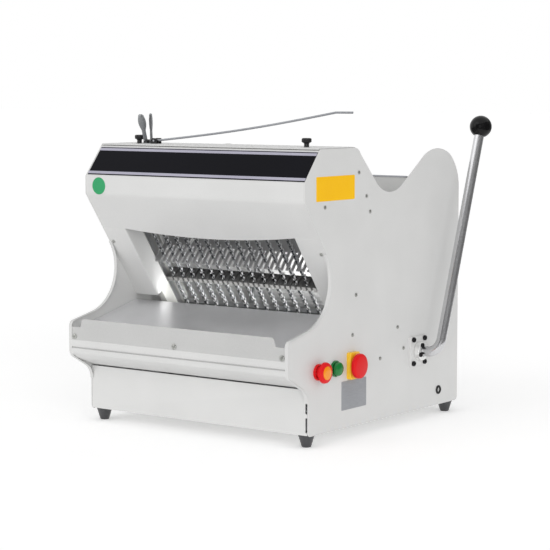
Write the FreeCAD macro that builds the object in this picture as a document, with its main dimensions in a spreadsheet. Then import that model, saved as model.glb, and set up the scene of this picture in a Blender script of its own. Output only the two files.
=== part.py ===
import FreeCAD, Part
import os
import re
import Sketcher

# Bench bread slicer: two blade frames that saw past each other, driven by an
# eccentric shaft and a belt, and a hand lever that swings a comb of tines
# forward over a curved floor to push the loaf through the blades.
#
# Row frame: millimetres, +X to the machine's lever side, +Y to its back, +Z
# up; the origin is on the bench at the centre of the four feet.
#
# Three tilted or shifted frames keep every piece simple:
#   case   y from the front edge of the side panels, z from the underside of the base plate
#   blade  origin on the eccentric shaft, y away from the hood, z up the blades
#   lever  origin on the lever shaft, y back, z up the lever

doc = FreeCAD.newDocument("bread_slicer")
sheet = doc.addObject("Spreadsheet::Sheet", "Dims")

# ---------------------------------------------------------------- dimensions

SIZES = [
    ("case_width", 540, "outside width over the side panels"),
    ("panel_depth", 534, "front edge to back edge of a side panel"),
    ("panel_thick", 2, "side panel sheet"),
    ("sheet_thick", 2, "every other folded sheet"),
    ("foot_height", 28.5, "bench to the base plate"),
    ("panel_skirt", 6, "front and sides below the base plate"),
    ("corner_round", 8, "bottom corners of a side panel"),
    ("toe_height", 57, "straight part of the front edge"),
    ("nose_reach", 62, "nose ahead of the front edge"),
    ("nose_low", 123, "bottom of the nose's upright face"),
    ("nose_high", 168, "top of the nose's upright face"),
    ("nose_round", 10, "rounding of the nose"),
    ("nose_slope", 12, "degrees, rise of the edge behind the nose"),
    ("flange_width", 30, "flange folded in along the nose"),
    ("arch_radius", 90, "hollow front edge beside the outlet"),
    ("arch_ahead", 14.7, "arch centre ahead of the front edge"),
    ("arch_height", 279, "arch centre above the base plate"),
    ("blade_tilt", 35.3, "degrees, blades and hood lean from upright"),
    ("brow_reach", 12, "upright brow ahead of the front edge"),
    ("brow_high", 466, "top of the upright brow"),
    ("band_tilt", 39, "degrees, trim band leans from upright"),
    ("roof_height", 528, "roof above the base plate"),
    ("roof_back", 150, "roof's flat part ends here"),
    ("valley_depth", 274, "lowest point of the loading valley, from the front"),
    ("valley_height", 439, "lowest point of the loading valley"),
    ("valley_half", 43, "half the rounded bottom of the valley"),
    ("ceiling_depth", 115, "front edge of the cover's inner ceiling, from the front"),
    ("ceiling_height", 408, "front edge of the cover's inner ceiling"),
    ("hump_inset", 88, "crest behind the valley, from the back edge"),
    ("hump_height", 519.5, "crest behind the valley"),
    ("hump_shoulder", 431, "where the crest meets the upright back edge"),
    ("outlet_inset", 60, "loaf passage inside the case, each side"),
    ("outlet_top", 395.9, "outlet's top corners, up the hood's slope"),
    ("outlet_sag", 14.7, "outlet's top edge hangs this low at mid width"),
    ("hood_low", 220, "lower end of the hood's two legs"),
    ("hood_return", 40, "flange folded back along the outlet"),
    ("band_low", 4, "trim band's lower edge, up the slope from the brow"),
    ("band_width", 68, "trim band across its slope"),
    ("trim_thick", 0.8, "trim band and plates"),
    ("tray_back", 140, "back edge of the outfeed tray, from the front"),
    ("tray_high", 206, "back edge of the outfeed tray"),
    ("tray_low", 158, "front edge of the tray's bed, behind its lip"),
    ("apron_top", 185, "top of the tray's front lip"),
    ("apron_inset", 35, "ends of the tray's front lip inside the case"),
    ("drawer_height", 83, "crumb drawer's front"),
    ("drawer_pan_depth", 225, "crumb drawer's pan behind its front"),
    ("drawer_pan_height", 36, "crumb drawer's pan walls"),
    ("fit_gap", 0.6, "clearance around the drawer front"),
    ("rear_height", 406, "top of the rear cover"),
    ("rear_bulge", 6, "rear cover stands behind the side panels"),
    ("crank_height", 71, "eccentric shaft above the base plate"),
    ("blade_setback", 59, "blade plane behind the hood's plane"),
    ("blade_pitch", 13, "slice thickness"),
    ("blade_margin", 10, "outermost blade to the passage's side, at least"),
    ("blade_depth", 10, "blade width along the cut"),
    ("blade_thick", 0.6, "blade thickness"),
    ("bar_web", 2, "frame bar behind a blade's slot"),
    ("frame_gap", 4, "between the two frames' bars"),
    ("frame_outside", 9, "blade frame outside the passage, each side"),
    ("rail_thick", 6, "frame side rail"),
    ("bar_height", 18, "frame cross bar"),
    ("lower_bar", 132, "underside of the lower cross bar at mid stroke"),
    ("upper_bar", 432, "underside of the upper cross bar at mid stroke"),
    ("half_stroke", 15, "eccentric throw"),
    ("shaft_radius", 10, "eccentric shaft"),
    ("disc_radius", 28, "eccentric disc"),
    ("rod_thick", 10, "connecting rod and eccentric disc"),
    ("rod_ring", 8, "wall of the rod's big end"),
    ("rod_length", 85, "crank centre to small end, up the blades"),
    ("small_end", 12, "radius of the rod's small end"),
    ("front_rod_inside", 9, "inner face of the front rods inside the frame's side"),
    ("rear_rod_inside", 47, "inner face of the rear rods inside the frame's side"),
    ("run_fit", 0.05, "radial clearance of a running fit"),
    ("open_gap", 0.3, "clearance at the rods' open pivots"),
    ("groove_fit", 0.1, "clearance each side of a rail in its groove"),
    ("guide_depth", 14, "guide block across the machine"),
    ("guide_low", 150, "bottom of the guide blocks"),
    ("guide_high", 450, "top of the guide blocks"),
    ("guide_low_gap", 5, "slot of the lower blade guide, which only keeps the blades apart"),
    ("bearing_thick", 12, "crank bearing plate"),
    ("pulley_outside", 15, "inner face of both pulleys outside the frame's side"),
    ("pulley_width", 20, "both pulleys"),
    ("crank_groove", 41, "radius of the crank pulley's groove floor"),
    ("motor_groove", 16, "radius of the motor pulley's groove floor"),
    ("pulley_rim", 5, "rim above the groove"),
    ("belt_thick", 5, "drive belt"),
    ("belt_width", 12, "drive belt"),
    ("motor_inset", 68, "motor axis from the back edge"),
    ("motor_height", 72, "motor axis above the base plate"),
    ("motor_radius", 58, "motor housing"),
    ("motor_length", 205, "motor housing"),
    ("motor_inside", 54, "left end of the motor housing inside the frame's side"),
    ("motor_shaft_radius", 7, "motor shaft"),
    ("lever_back", 377, "lever shaft from the front"),
    ("lever_height", 115, "lever shaft above the base plate"),
    ("lever_lean", 19, "degrees, lever leans back at rest"),
    ("lever_length", 473, "lever shaft to the ball's centre"),
    ("lever_reach", 52, "plane of the lever's long leg outside the case"),
    ("lever_bend", 26, "bend radius of the lever"),
    ("lever_radius", 10, "lever rod"),
    ("lever_shaft_radius", 11, "lever shaft"),
    ("ball_radius", 22.5, "ball knob"),
    ("hub_radius", 18.5, "lever hub"),
    ("hub_reach", 16, "outer face of the lever hub outside the case"),
    ("flange_side", 60, "lever bearing flange"),
    ("flange_thick", 4, "lever bearing flange"),
    ("floor_radius", 300, "curved feed floor about the lever shaft"),
    ("floor_rear", 62, "degrees, back end of the feed floor"),
    ("floor_thick", 2, "curved feed floor"),
    ("finger_reach", 24, "feed floor's fingers ahead of the blade plane"),
    ("finger_gap", 7, "slot between two fingers of the feed floor"),
    ("arm_blade", 11, "the blade that each pusher arm stands behind, from the middle"),
    ("arm_thick", 6, "pusher arm"),
    ("pusher_ahead", 58, "pusher face ahead of the lever's line"),
    ("pusher_sink", 3.6, "pusher's lower edge below the floor's radius"),
    ("pusher_rise", 47, "pusher's upper edge above the floor's radius"),
    ("tine_rise", 30, "tines' upper edge above the floor's radius"),
    ("pusher_gap", 4, "pusher's end to the passage's side"),
    ("tine_thick", 3, "pusher tine"),
    ("tine_reach", 30, "tines ahead of the pusher plate"),
    ("lever_travel", 53, "degrees, pull of the lever"),
    ("cheek_top", 430, "top of the chute cheeks"),
    ("screw_radius", 2, "panel screw shank"),
    ("screw_length", 8, "panel screw below the head"),
    ("screw_head", 3.8, "panel screw head radius"),
    ("post_radius", 7, "spacer posts and tie rods"),
    ("bolt_radius", 3, "M6 bolt shank"),
    ("bolt_head", 5.5, "M6 bolt head radius"),
    ("bolt_drop", 4, "M6 bolt head height"),
    ("foot_side_inset", 18, "feet from the case's sides"),
    ("foot_inset", 20, "feet from the front and back edges"),
    ("foot_top_radius", 15.5, "foot under the base"),
    ("foot_low_radius", 9, "foot on the bench"),
    ("foot_neck", 7, "foot's neck through the base"),
    ("foot_bore", 3.3, "stud hole up through a foot"),
    ("button_height", 113, "row of buttons above the base plate"),
    ("stop_back", 31.7, "stop button from the front"),
    ("button_pitch", 55.5, "between the three buttons"),
    ("collar_radius", 15.5, "collar of the stop and start buttons"),
    ("button_stem", 8, "stem of the small buttons"),
    ("collar_wall", 4, "collar's neck around a stem"),
    ("collar_thick", 4.5, "collars of the stop and start buttons"),
    ("stop_stand", 9, "stop button's mushroom in front of its collar"),
    ("start_stand", 4.5, "start button's cap in front of its collar"),
    ("estop_collar_thick", 9, "emergency stop's collar"),
    ("estop_collar_side", 32, "emergency stop's collar, front to back"),
    ("estop_collar_tall", 52, "emergency stop's collar, low to high"),
    ("stop_radius", 20, "stop button's mushroom"),
    ("start_radius", 13, "start button's cap"),
    ("estop_radius", 24, "emergency stop's head"),
    ("estop_stem_radius", 9, "emergency stop's stem"),
    ("plate_back", 109, "rating plate's front edge, from the front"),
    ("plate_width", 84, "rating plate"),
    ("plate_low", 29, "rating plate's lower edge"),
    ("plate_height", 56, "rating plate"),
    ("inlet_inset", 75.3, "cable inlet from the back edge"),
    ("inlet_height", 24.8, "cable inlet above the base plate"),
    ("inlet_bore", 5, "radius of the grommet's hole"),
    ("grommet_neck", 7, "grommet in the panel's hole"),
    ("grommet_radius", 9, "grommet's flange"),
    ("knob_inset", 63, "thumb knobs from the case's sides"),
    ("knob_behind", 43.7934, "thumb knobs behind the roof's front edge"),
    ("knob_radius", 9.5, "thumb knob's head"),
    ("knob_height", 19, "thumb knob above the roof"),
    ("bracket_inset", 74, "bag holder's bracket from the case's left side"),
    ("bracket_width", 40, "bag holder's bracket"),
    ("leaf_height", 62, "bag holder's leaves above the roof"),
    ("wire_radius", 1.6, "bag holder's wire"),
]

# Places that follow from the sizes: each row of the sheet holds its formula.
FOLLOWING = [
    ("outlet_width", "case_width - 2*outlet_inset", "clear width of the loaf passage"),
    ("blade_side_count", "floor((outlet_width/2 - blade_margin)/blade_pitch)", "blades on each side"),
    ("frame_half", "outlet_width/2 + frame_outside", "half width over a frame's side rails"),
    ("front_rod_at", "frame_half - front_rod_inside", "inner face of the front rods"),
    ("rear_rod_at", "frame_half - rear_rod_inside", "inner face of the rear rods"),
    ("pulley_at", "frame_half + pulley_outside", "inner face of both pulleys"),
    ("pusher_half", "outlet_width/2 - pusher_gap", "half width of the pusher"),
    ("pusher_low", "floor_radius - pusher_sink", "pusher's lower edge from the lever shaft"),
    ("pusher_high", "floor_radius + pusher_rise", "pusher's upper edge from the lever shaft"),
    ("tine_high", "floor_radius + tine_rise", "tines' upper edge from the lever shaft"),
    ("apron_half", "case_width/2 - apron_inset", "half width of the tray's front lip"),
    ("motor_left", "motor_inside - frame_half", "left end of the motor housing"),
    ("motor_back", "panel_depth - motor_inset", "motor axis from the front"),
    ("hump_depth", "panel_depth - hump_inset", "crest behind the valley, from the front"),
    ("inlet_back", "panel_depth - inlet_inset", "cable inlet from the front"),
    ("lever_out", "case_width/2 + lever_reach", "plane of the lever's long leg"),
    ("hub_face", "case_width/2 + hub_reach", "outer face of the lever hub"),
    ("foot_spread", "case_width/2 - foot_side_inset", "feet from the middle, across"),
    ("knob_at", "case_width/2 - knob_inset", "thumb knobs from the middle"),
    ("knob_back", "knob_behind - brow_reach + (roof_height - brow_high)*tan(band_tilt)", "thumb knobs"),
    ("bracket_left", "bracket_inset - case_width/2", "bag holder's bracket, left end"),
]

sheet.set("A1", "name")
sheet.set("B1", "value")
sheet.set("C1", "note")
for line, (name, size, note) in enumerate(SIZES + FOLLOWING, 2):
    sheet.set(f"A{line}", name)
    sheet.set(f"B{line}", f"={size}")
    sheet.setAlias(f"B{line}", name)
    sheet.set(f"C{line}", note)
doc.recompute()
NAMES = {name for name, size, note in SIZES + FOLLOWING}

# ------------------------------------------------------------------- helpers


def full(text):
    """The expression with every sheet name spelled Dims.name."""
    return re.sub(r"\b[a-z]\w*", lambda word: ("Dims." if word[0] in NAMES else "") + word[0], text)


def value(text):
    """The number that an expression gives now."""
    return float(sheet.evalExpression(full(text)))


def bind(thing, prop, text):
    thing.setExpression(prop, full(text))


def hood_y(height):
    """Case-frame y of the hood's outer plane at a height above the base plate."""
    return f"(arch_radius/cos(blade_tilt) - arch_ahead - ({height} - arch_height)*tan(blade_tilt))"


CRANK_Y = f"({hood_y('crank_height')} + blade_setback/cos(blade_tilt))"
LEVER_N = f"((lever_back - {CRANK_Y})*cos(blade_tilt) + (lever_height - crank_height)*sin(blade_tilt))"
LEVER_T = f"((lever_height - crank_height)*cos(blade_tilt) - (lever_back - {CRANK_Y})*sin(blade_tilt))"
BAND_TOP = "(-brow_reach + (roof_height - brow_high)*tan(band_tilt))"
INNER = "(case_width/2 - panel_thick)"
HALF_OUT = "(outlet_width/2)"

# Each frame: y and z of its origin in the row frame, and its turn about X.
FRAMES = {
    "case": ("-panel_depth/2", "foot_height", "0"),
    "blade": (f"{CRANK_Y} - panel_depth/2", "crank_height + foot_height", "blade_tilt"),
    "lever": ("lever_back - panel_depth/2", "lever_height + foot_height", "-lever_lean"),
    "brow": ("-brow_reach - panel_depth/2", "brow_high + foot_height", "-band_tilt"),
}
# Turns that lay a cylinder's own axis along the frame's x, y, -y or z.
TURNS = {"z": "0", "y": "-90", "-y": "90"}


def place(thing, frame, x="0", y="0", z="0", along="z"):
    """Bind the placement of a thing that sits at x, y, z of a frame."""
    base_y, base_z, tilt = FRAMES[frame]
    row_y = f"{base_y} + ({y})*cos({tilt}) - ({z})*sin({tilt})"
    row_z = f"{base_z} + ({y})*sin({tilt}) + ({z})*cos({tilt})"
    turn = "vector(0; 1; 0); 90" if along == "x" else f"vector(1; 0; 0); {tilt} + ({TURNS[along]})"
    bind(thing, "Placement", f"placement(vector({x}; {row_y}; {row_z}); rotation({turn}))")


def box(name, frame, x, y, z):
    """A block between two values on each axis of a frame."""
    block = doc.addObject("Part::Box", name)
    for prop, (low, high) in (("Length", x), ("Width", y), ("Height", z)):
        bind(block, prop, f"({high}) - ({low})")
    place(block, frame, x[0], y[0], z[0])
    return block


def rod(name, frame, start, radius, length, along="x"):
    """A cylinder from its start point along one axis of a frame."""
    cylinder = doc.addObject("Part::Cylinder", name)
    bind(cylinder, "Radius", radius)
    bind(cylinder, "Height", length)
    place(cylinder, frame, *start, along=along)
    return cylinder


def cone(name, frame, start, low, high, length, along="x"):
    """A cone frustum from its start point along one axis of a frame."""
    frustum = doc.addObject("Part::Cone", name)
    bind(frustum, "Radius1", low)
    bind(frustum, "Radius2", high)
    bind(frustum, "Height", length)
    place(frustum, frame, *start, along=along)
    return frustum


def fuse(name, *things):
    union = doc.addObject("Part::MultiFuse", name)
    union.Shapes = list(things)
    return union


def cut(name, thing, *tools):
    """The thing less every tool."""
    result = doc.addObject("Part::Cut", name)
    result.Base = thing
    result.Tool = tools[0] if len(tools) == 1 else fuse(name + "_tools", *tools)
    return result


def group(name, *things):
    """Separate solids kept as one node."""
    bundle = doc.addObject("Part::Compound", name)
    bundle.Links = list(things)
    return bundle


def outline(sketch, steps):
    """Draw a closed outline: (u, v) is a line to a point, (mid u, mid v, u, v) an arc."""
    points = [(value(step[-2]), value(step[-1])) for step in steps]
    edges = []
    for index, step in enumerate(steps):
        start = FreeCAD.Vector(*points[index - 1])
        end = FreeCAD.Vector(*points[index])
        if len(step) == 2:
            edges.append(sketch.addGeometry(Part.LineSegment(start, end)))
            continue
        middle = FreeCAD.Vector(value(step[0]), value(step[1]))
        edges.append(sketch.addGeometry(Part.Arc(start, middle, end)))
    for index, step in enumerate(steps):
        edge, before = edges[index], edges[index - 1]
        start = FreeCAD.Vector(*points[index - 1])
        end = FreeCAD.Vector(*points[index])
        joint = (before, end_of(sketch, before, start), edge, end_of(sketch, edge, start))
        sketch.addConstraint(Sketcher.Constraint("Coincident", *joint))
        pin(sketch, edge, end_of(sketch, edge, end), end, step[-2:], f"p{index}")
        if len(step) == 4:
            middle = FreeCAD.Vector(value(step[0]), value(step[1]))
            mark = sketch.addGeometry(Part.Point(middle), True)
            pin(sketch, mark, 1, middle, step[:2], f"m{index}")
            sketch.addConstraint(Sketcher.Constraint("PointOnObject", mark, 1, edge))


def end_of(sketch, edge, point):
    """1 when the sketch's edge starts at the point, 2 when it ends there."""
    return 1 if (sketch.getPoint(edge, 1) - point).Length < (sketch.getPoint(edge, 2) - point).Length else 2


def pin(sketch, edge, side, point, texts, name):
    """Fix one vertex by two named distances from the sketch's origin, bound to the sheet."""
    for kind, number, text in (("DistanceX", point.x, texts[0]), ("DistanceY", point.y, texts[1])):
        row = sketch.addConstraint(Sketcher.Constraint(kind, -1, 1, edge, side, number))
        label = name + kind[-1].lower()
        sketch.renameConstraint(row, label)
        bind(sketch, "Constraints." + label, text)


def profile(name, frame, steps, x):
    """A PartDesign body: an outline in the frame's y-z plane, padded between two x values."""
    body = doc.addObject("PartDesign::Body", name)
    plane = [feature for feature in body.Origin.OriginFeatures if feature.Role == "YZ_Plane"][0]
    sketch = body.newObject("Sketcher::SketchObject", name + "_sketch")
    sketch.AttachmentSupport = [(plane, "")]
    sketch.MapMode = "FlatFace"
    outline(sketch, steps)
    pad = body.newObject("PartDesign::Pad", name + "_pad")
    pad.Profile = sketch
    bind(pad, "Length", f"({x[1]}) - ({x[0]})")
    place(body, frame, x=x[0])
    return body


def lathe(name, frame, start, steps):
    """A PartDesign body turned about the frame's x axis: steps are (x from start, radius)."""
    body = doc.addObject("PartDesign::Body", name)
    plane = [feature for feature in body.Origin.OriginFeatures if feature.Role == "XY_Plane"][0]
    sketch = body.newObject("Sketcher::SketchObject", name + "_sketch")
    sketch.AttachmentSupport = [(plane, "")]
    sketch.MapMode = "FlatFace"
    outline(sketch, steps)
    turn = body.newObject("PartDesign::Revolution", name + "_turn")
    turn.Profile = sketch
    turn.ReferenceAxis = (sketch, ["H_Axis"])
    place(body, frame, *start)
    return body


def repeat(name, frame, shapes):
    """One feature that holds a row of separate solids drawn in a frame's own axes."""
    feature = doc.addObject("Part::Feature", name)
    feature.Shape = Part.makeCompound(shapes)
    place(feature, frame)
    return feature


def block(x, y, z):
    """A plain block between two numbers on each axis."""
    return Part.makeBox(x[1] - x[0], y[1] - y[0], z[1] - z[0], FreeCAD.Vector(x[0], y[0], z[0]))


NODES = []


def node(thing, label):
    """Register a finished sub-part under the name of its file."""
    thing.Label = label
    NODES.append(thing)
    return thing


SIDES = (("right", 1), ("left", -1))


def span(side, near, far):
    """Low and high x of a piece between two distances from the middle, on one side."""
    return (near, far) if side > 0 else (f"-({far})", f"-({near})")


# --------------------------------------------------------------- side panels

CORNER = "corner_round*(1 - sqrt(0.5))"
PANEL = [
    ("0", "toe_height"),
    ("-0.08*nose_reach", "toe_height + 18", "-0.25*nose_reach", "toe_height + 29.5"),
    ("-nose_reach + nose_round", "nose_low - 1.6*nose_round"),
    ("-nose_reach + 0.27*nose_round", "nose_low - 0.95*nose_round", "-nose_reach", "nose_low"),
    ("-nose_reach", "nose_high"),
    ("-nose_reach + 0.25*nose_round", "nose_high + 0.75*nose_round",
     "-nose_reach + nose_round", "nose_high + 1.1*nose_round"),
    ("arch_radius*sin(nose_slope) - arch_ahead", "arch_height - arch_radius*cos(nose_slope)"),
    ("arch_radius - arch_ahead", "arch_height",
     "arch_radius*cos(blade_tilt) - arch_ahead", "arch_height + arch_radius*sin(blade_tilt)"),
    ("-brow_reach", "arch_height + (arch_radius/cos(blade_tilt) - arch_ahead + brow_reach)/tan(blade_tilt)"),
    ("-brow_reach", "brow_high"),
    (BAND_TOP, "roof_height"),
    ("roof_back", "roof_height"),
    ("roof_back + 13", "roof_height - 3", "roof_back + 22", "roof_height - 12"),
    ("valley_depth - valley_half", "valley_height + 16"),
    ("valley_depth", "valley_height", "valley_depth + valley_half", "valley_height + 11"),
    ("hump_depth - 46", "hump_height - 12.5"),
    ("hump_depth", "hump_height", "hump_depth + 49", "hump_height - 11"),
    ("panel_depth - 13", "hump_shoulder + 51", "panel_depth", "hump_shoulder"),
    ("panel_depth", "corner_round - panel_skirt"),
    (f"panel_depth - {CORNER}", f"{CORNER} - panel_skirt", "panel_depth - corner_round", "-panel_skirt"),
    ("corner_round", "-panel_skirt"),
    (CORNER, f"{CORNER} - panel_skirt", "0", "corner_round - panel_skirt"),
]

# Where each panel is screwed to what stands behind it: y, z in the case frame.
ROOF_TIE = ("165.4", "480.6")
TRAY_TIE = ("145.7", "170.9")
GUIDE_TOP = ("53.1", "419.6")
GUIDE_LOW = ("157.1", "246.8")
CHEEK_HIGH = ("191.5", "434.6")
CHEEK_LOW = ("203.9", "404.2")
CHEEK_REAR = ("panel_depth - 64", "385")
BEARING_SCREWS = [("304", "170"), ("326.5", "125.6"), ("241.7", "114.4")]
SCREWED = [ROOF_TIE, TRAY_TIE, GUIDE_TOP, GUIDE_LOW, CHEEK_HIGH, CHEEK_LOW] + BEARING_SCREWS
NOSE_SCREW_HEIGHT = "((nose_low + nose_high)/2 + 3)"
NOSE_SCREW_X = "(case_width/2 - flange_width/2 + 1)"
NOSE_SCREWS = [f"-{NOSE_SCREW_X}", "0", NOSE_SCREW_X]
START_BACK = "(stop_back + button_pitch)"
ESTOP_BACK = "(stop_back + 2*button_pitch)"
TAB_X = "(case_width/2 - 12)"
TAB_MIDDLE = "360"


def side_panel(word, side):
    """Sheet side with its nose flange and the hood's fixing tab, drilled for all it carries."""
    skin = profile(f"{word}_skin", "case", PANEL, span(side, INNER, "case_width/2"))
    flange = box(f"{word}_flange", "case", span(side, "case_width/2 - flange_width", INNER),
                 ("-nose_reach", "-nose_reach + panel_thick"), ("nose_low", "nose_high"))
    tab = box(f"{word}_tab", "blade", span(side, "case_width/2 - flange_width", INNER),
              ("-blade_setback + sheet_thick", "-blade_setback + 2*sheet_thick"),
              (f"{TAB_MIDDLE} - 15", f"{TAB_MIDDLE} + 15"))
    tools = [rod(f"{word}_hole_{index}", "case", (span(side, INNER, "case_width/2")[0], y, z),
                 "screw_radius + run_fit", "panel_thick") for index, (y, z) in enumerate(SCREWED)]
    tools.append(rod(f"{word}_nose_hole", "case",
                     (f"{side}*{NOSE_SCREW_X}", "-nose_reach", NOSE_SCREW_HEIGHT),
                     "screw_radius + run_fit", "panel_thick", "y"))
    tools.append(rod(f"{word}_tab_hole", "blade",
                     (f"{side}*{TAB_X}", "-blade_setback", TAB_MIDDLE), "screw_radius + run_fit", "20", "y"))
    if side > 0:
        start = INNER
        for label, y, z, radius in (
            ("shaft", "lever_back", "lever_height", "lever_shaft_radius + 1"),
            ("stop", "stop_back", "button_height", "button_stem + collar_wall + run_fit"),
            ("start", START_BACK, "button_height", "button_stem + collar_wall + run_fit"),
            ("estop", ESTOP_BACK, "button_height", "estop_stem_radius + collar_wall + run_fit"),
            ("inlet", "inlet_back", "inlet_height", "grommet_neck"),
        ):
            tools.append(rod(f"{label}_opening", "case", (start, y, z), radius, "panel_thick"))
        for index, (dy, dz) in enumerate(FLANGE_BOLTS):
            tools.append(rod(f"flange_bolt_hole_{index}", "case",
                             (start, f"lever_back + {dy}", f"lever_height + {dz}"),
                             "bolt_radius + run_fit", "panel_thick"))
    return node(cut(f"{word}_panel", fuse(f"{word}_sheet", skin, flange, tab), *tools), f"side_panel_{word}")


FLANGE_BOLTS = [(f"{a}*(flange_side/2 - 9.5)", f"{b}*(flange_side/2 - 6)") for a in (-1, 1) for b in (-1, 1)]
for word, side in SIDES:
    side_panel(word, side)

# ---------------------------------------------------------------------- hood

LIP_LOW = "(roof_height - 2*sheet_thick)"
LIP_TOP = "(roof_height - sheet_thick)"
BEND = "(arch_height + (arch_radius/cos(blade_tilt) - arch_ahead + brow_reach)/tan(blade_tilt))"
BAND_STEP = "sheet_thick/cos(band_tilt)"
HOOD_STEP = "sheet_thick/cos(blade_tilt)"
HOOD_FOOT = "((hood_low - crank_height + blade_setback*sin(blade_tilt))/cos(blade_tilt))"


def band_y(height):
    """Case-frame y of the trim band's slope at a height."""
    return f"(-brow_reach + ({height} - brow_high)*tan(band_tilt))"


HOOD = [
    (hood_y("hood_low"), "hood_low"),
    ("-brow_reach", BEND),
    ("-brow_reach", "brow_high"),
    (band_y(LIP_TOP), LIP_TOP),
    ("knob_back + 25", LIP_TOP),
    ("knob_back + 25", LIP_LOW),
    (f"{band_y(LIP_LOW)} + {BAND_STEP}", LIP_LOW),
    ("-brow_reach + sheet_thick", f"brow_high + (sheet_thick - {BAND_STEP})/tan(band_tilt)"),
    ("-brow_reach + sheet_thick", f"{BEND} + ({HOOD_STEP} - sheet_thick)/tan(blade_tilt)"),
    (f"{hood_y('hood_low')} + {HOOD_STEP}", "hood_low"),
]


def outlet_cutter():
    """Solid that opens the outlet: straight sides and a top edge that sags at mid width."""
    half = value(HALF_OUT)
    top = value("outlet_top")
    low = value(HOOD_FOOT) - value("hood_return")
    corners = [FreeCAD.Vector(-half, 0, top), FreeCAD.Vector(-half, 0, low),
               FreeCAD.Vector(half, 0, low), FreeCAD.Vector(half, 0, top)]
    crown = FreeCAD.Vector(0, 0, top - value("outlet_sag"))
    edges = [Part.makeLine(a, b) for a, b in zip(corners, corners[1:])]
    edges.append(Part.Arc(corners[3], crown, corners[0]).toShape())
    face = Part.Face(Part.Wire(edges))
    face.translate(FreeCAD.Vector(0, value("-blade_setback - 2*sheet_thick"), 0))
    return repeat("outlet_cutter", "blade", [face.extrude(FreeCAD.Vector(0, value("4*sheet_thick"), 0))])


def front_hood():
    """Folded front: roof lip, trim slope, brow and the slanted face with the outlet in it."""
    face = profile("hood_sheet", "case", HOOD, (f"-{INNER}", INNER))
    opened = cut("hood_opened", face, outlet_cutter())
    returns = [box(f"hood_return_{word}", "blade", span(side, HALF_OUT, f"{HALF_OUT} + sheet_thick"),
                   ("-blade_setback + sheet_thick/2", "-blade_setback + hood_return"),
                   (f"{HOOD_FOOT} + 12", "outlet_top")) for word, side in SIDES]
    tools = [rod(f"hood_screw_hole_{word}", "blade",
                 (f"{side}*{TAB_X}", "-blade_setback - 1", TAB_MIDDLE),
                 "screw_radius + run_fit", "sheet_thick + 2", "y") for word, side in SIDES]
    tools += [rod(f"lip_hole_{word}", "case", (f"{side}*knob_at", "knob_back", LIP_LOW),
                  "bolt_radius + run_fit", "sheet_thick", "z") for word, side in SIDES]
    return node(cut("hood", fuse("hood_folded", opened, *returns), *tools), "front_hood")


front_hood()

node(box("trim_band", "brow", (f"-{INNER} + 3", INNER), ("-trim_thick", "0"),
         ("band_low", "band_low + band_width")), "trim_band")

# ----------------------------------------------------------- roof and covers


def top_cover():
    """Lift-off roof, folded down behind into the front wall of the loading valley."""
    roof = [
        (BAND_TOP, "roof_height"),
        ("roof_back", "roof_height"),
        ("roof_back + 13", "roof_height - 3", "roof_back + 22", "roof_height - 12"),
        ("valley_depth - valley_half", "valley_height + 16"),
        ("valley_depth - valley_half - sheet_thick", "valley_height + 16 - sheet_thick"),
        ("roof_back + 20.5", "roof_height - 13.5"),
        ("roof_back + 12", "roof_height - 5", "roof_back", "roof_height - sheet_thick"),
        (f"{BAND_TOP} - sheet_thick*tan(band_tilt)", "roof_height - sheet_thick"),
    ]
    ceiling = [
        ("valley_depth - valley_half", "valley_height + 16"),
        ("ceiling_depth", "ceiling_height"),
        ("ceiling_depth + 0.4*sheet_thick", "ceiling_height - 0.95*sheet_thick"),
        ("valley_depth - valley_half + 0.4*sheet_thick", "valley_height + 16 - 0.95*sheet_thick"),
    ]
    skin = profile("roof_sheet", "case", roof, (f"-{INNER} + open_gap", f"{INNER} - open_gap"))
    inner = profile("roof_ceiling", "case", ceiling, (f"-{HALF_OUT} + 0.5", f"{HALF_OUT} - 0.5"))
    folded = fuse("roof_folded", skin, inner)
    holes = [rod(f"roof_hole_{word}", "case", (f"{side}*knob_at", "knob_back", LIP_TOP),
                 "bolt_radius + run_fit", "sheet_thick", "z") for word, side in SIDES]
    return node(cut("roof", folded, *holes), "top_cover")


def rear_cover():
    """Shallow pan that closes the back, standing a little behind the side panels."""
    skin = box("rear_skin", "case", (f"-{INNER} + 4", f"{INNER} - 4"),
               ("panel_depth + rear_bulge - sheet_thick", "panel_depth + rear_bulge"),
               ("corner_round", "rear_height"))
    flanges = [box(f"rear_flange_{word}", "case", span(side, f"{INNER} - 4 - sheet_thick", f"{INNER} - 4"),
                   ("panel_depth - 12", "panel_depth + rear_bulge"), ("corner_round", "rear_height"))
               for word, side in SIDES]
    cap = box("rear_cap", "case", (f"-{INNER} + 4", f"{INNER} - 4"),
              ("panel_depth - 12", "panel_depth + rear_bulge"), ("rear_height - sheet_thick", "rear_height"))
    ties = [box(f"rear_tie_{word}", "case", span(side, f"{INNER} - 4 - sheet_thick", INNER),
                ("panel_depth - 12", "panel_depth - 10"), ("corner_round", "rear_height"))
            for word, side in SIDES]
    return node(fuse("rear_pan", skin, cap, *flanges, *ties), "rear_cover")


FEET = [(f"{side}*foot_spread", y) for word, side in SIDES for y in ("foot_inset", "panel_depth - foot_inset")]


def base_plate():
    """Floor of the case, turned up along both sides, drilled for the feet."""
    flat = box("base_flat", "case", (f"-{INNER}", INNER), ("sheet_thick + fit_gap", "panel_depth - 14"),
               ("0", "sheet_thick"))
    turned = [box(f"base_edge_{word}", "case", span(side, f"{INNER} - sheet_thick", INNER),
                  ("drawer_pan_depth + 30", "panel_depth - 14"), ("0", "14")) for word, side in SIDES]
    holes = [rod(f"base_hole_{index}", "case", (x, y, "0"), "foot_neck", "sheet_thick", "z")
             for index, (x, y) in enumerate(FEET)]
    return node(cut("base", fuse("base_folded", flat, *turned), *holes), "base_plate")


top_cover()
rear_cover()
base_plate()

# -------------------------------------------------------------- crumb drawer

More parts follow.
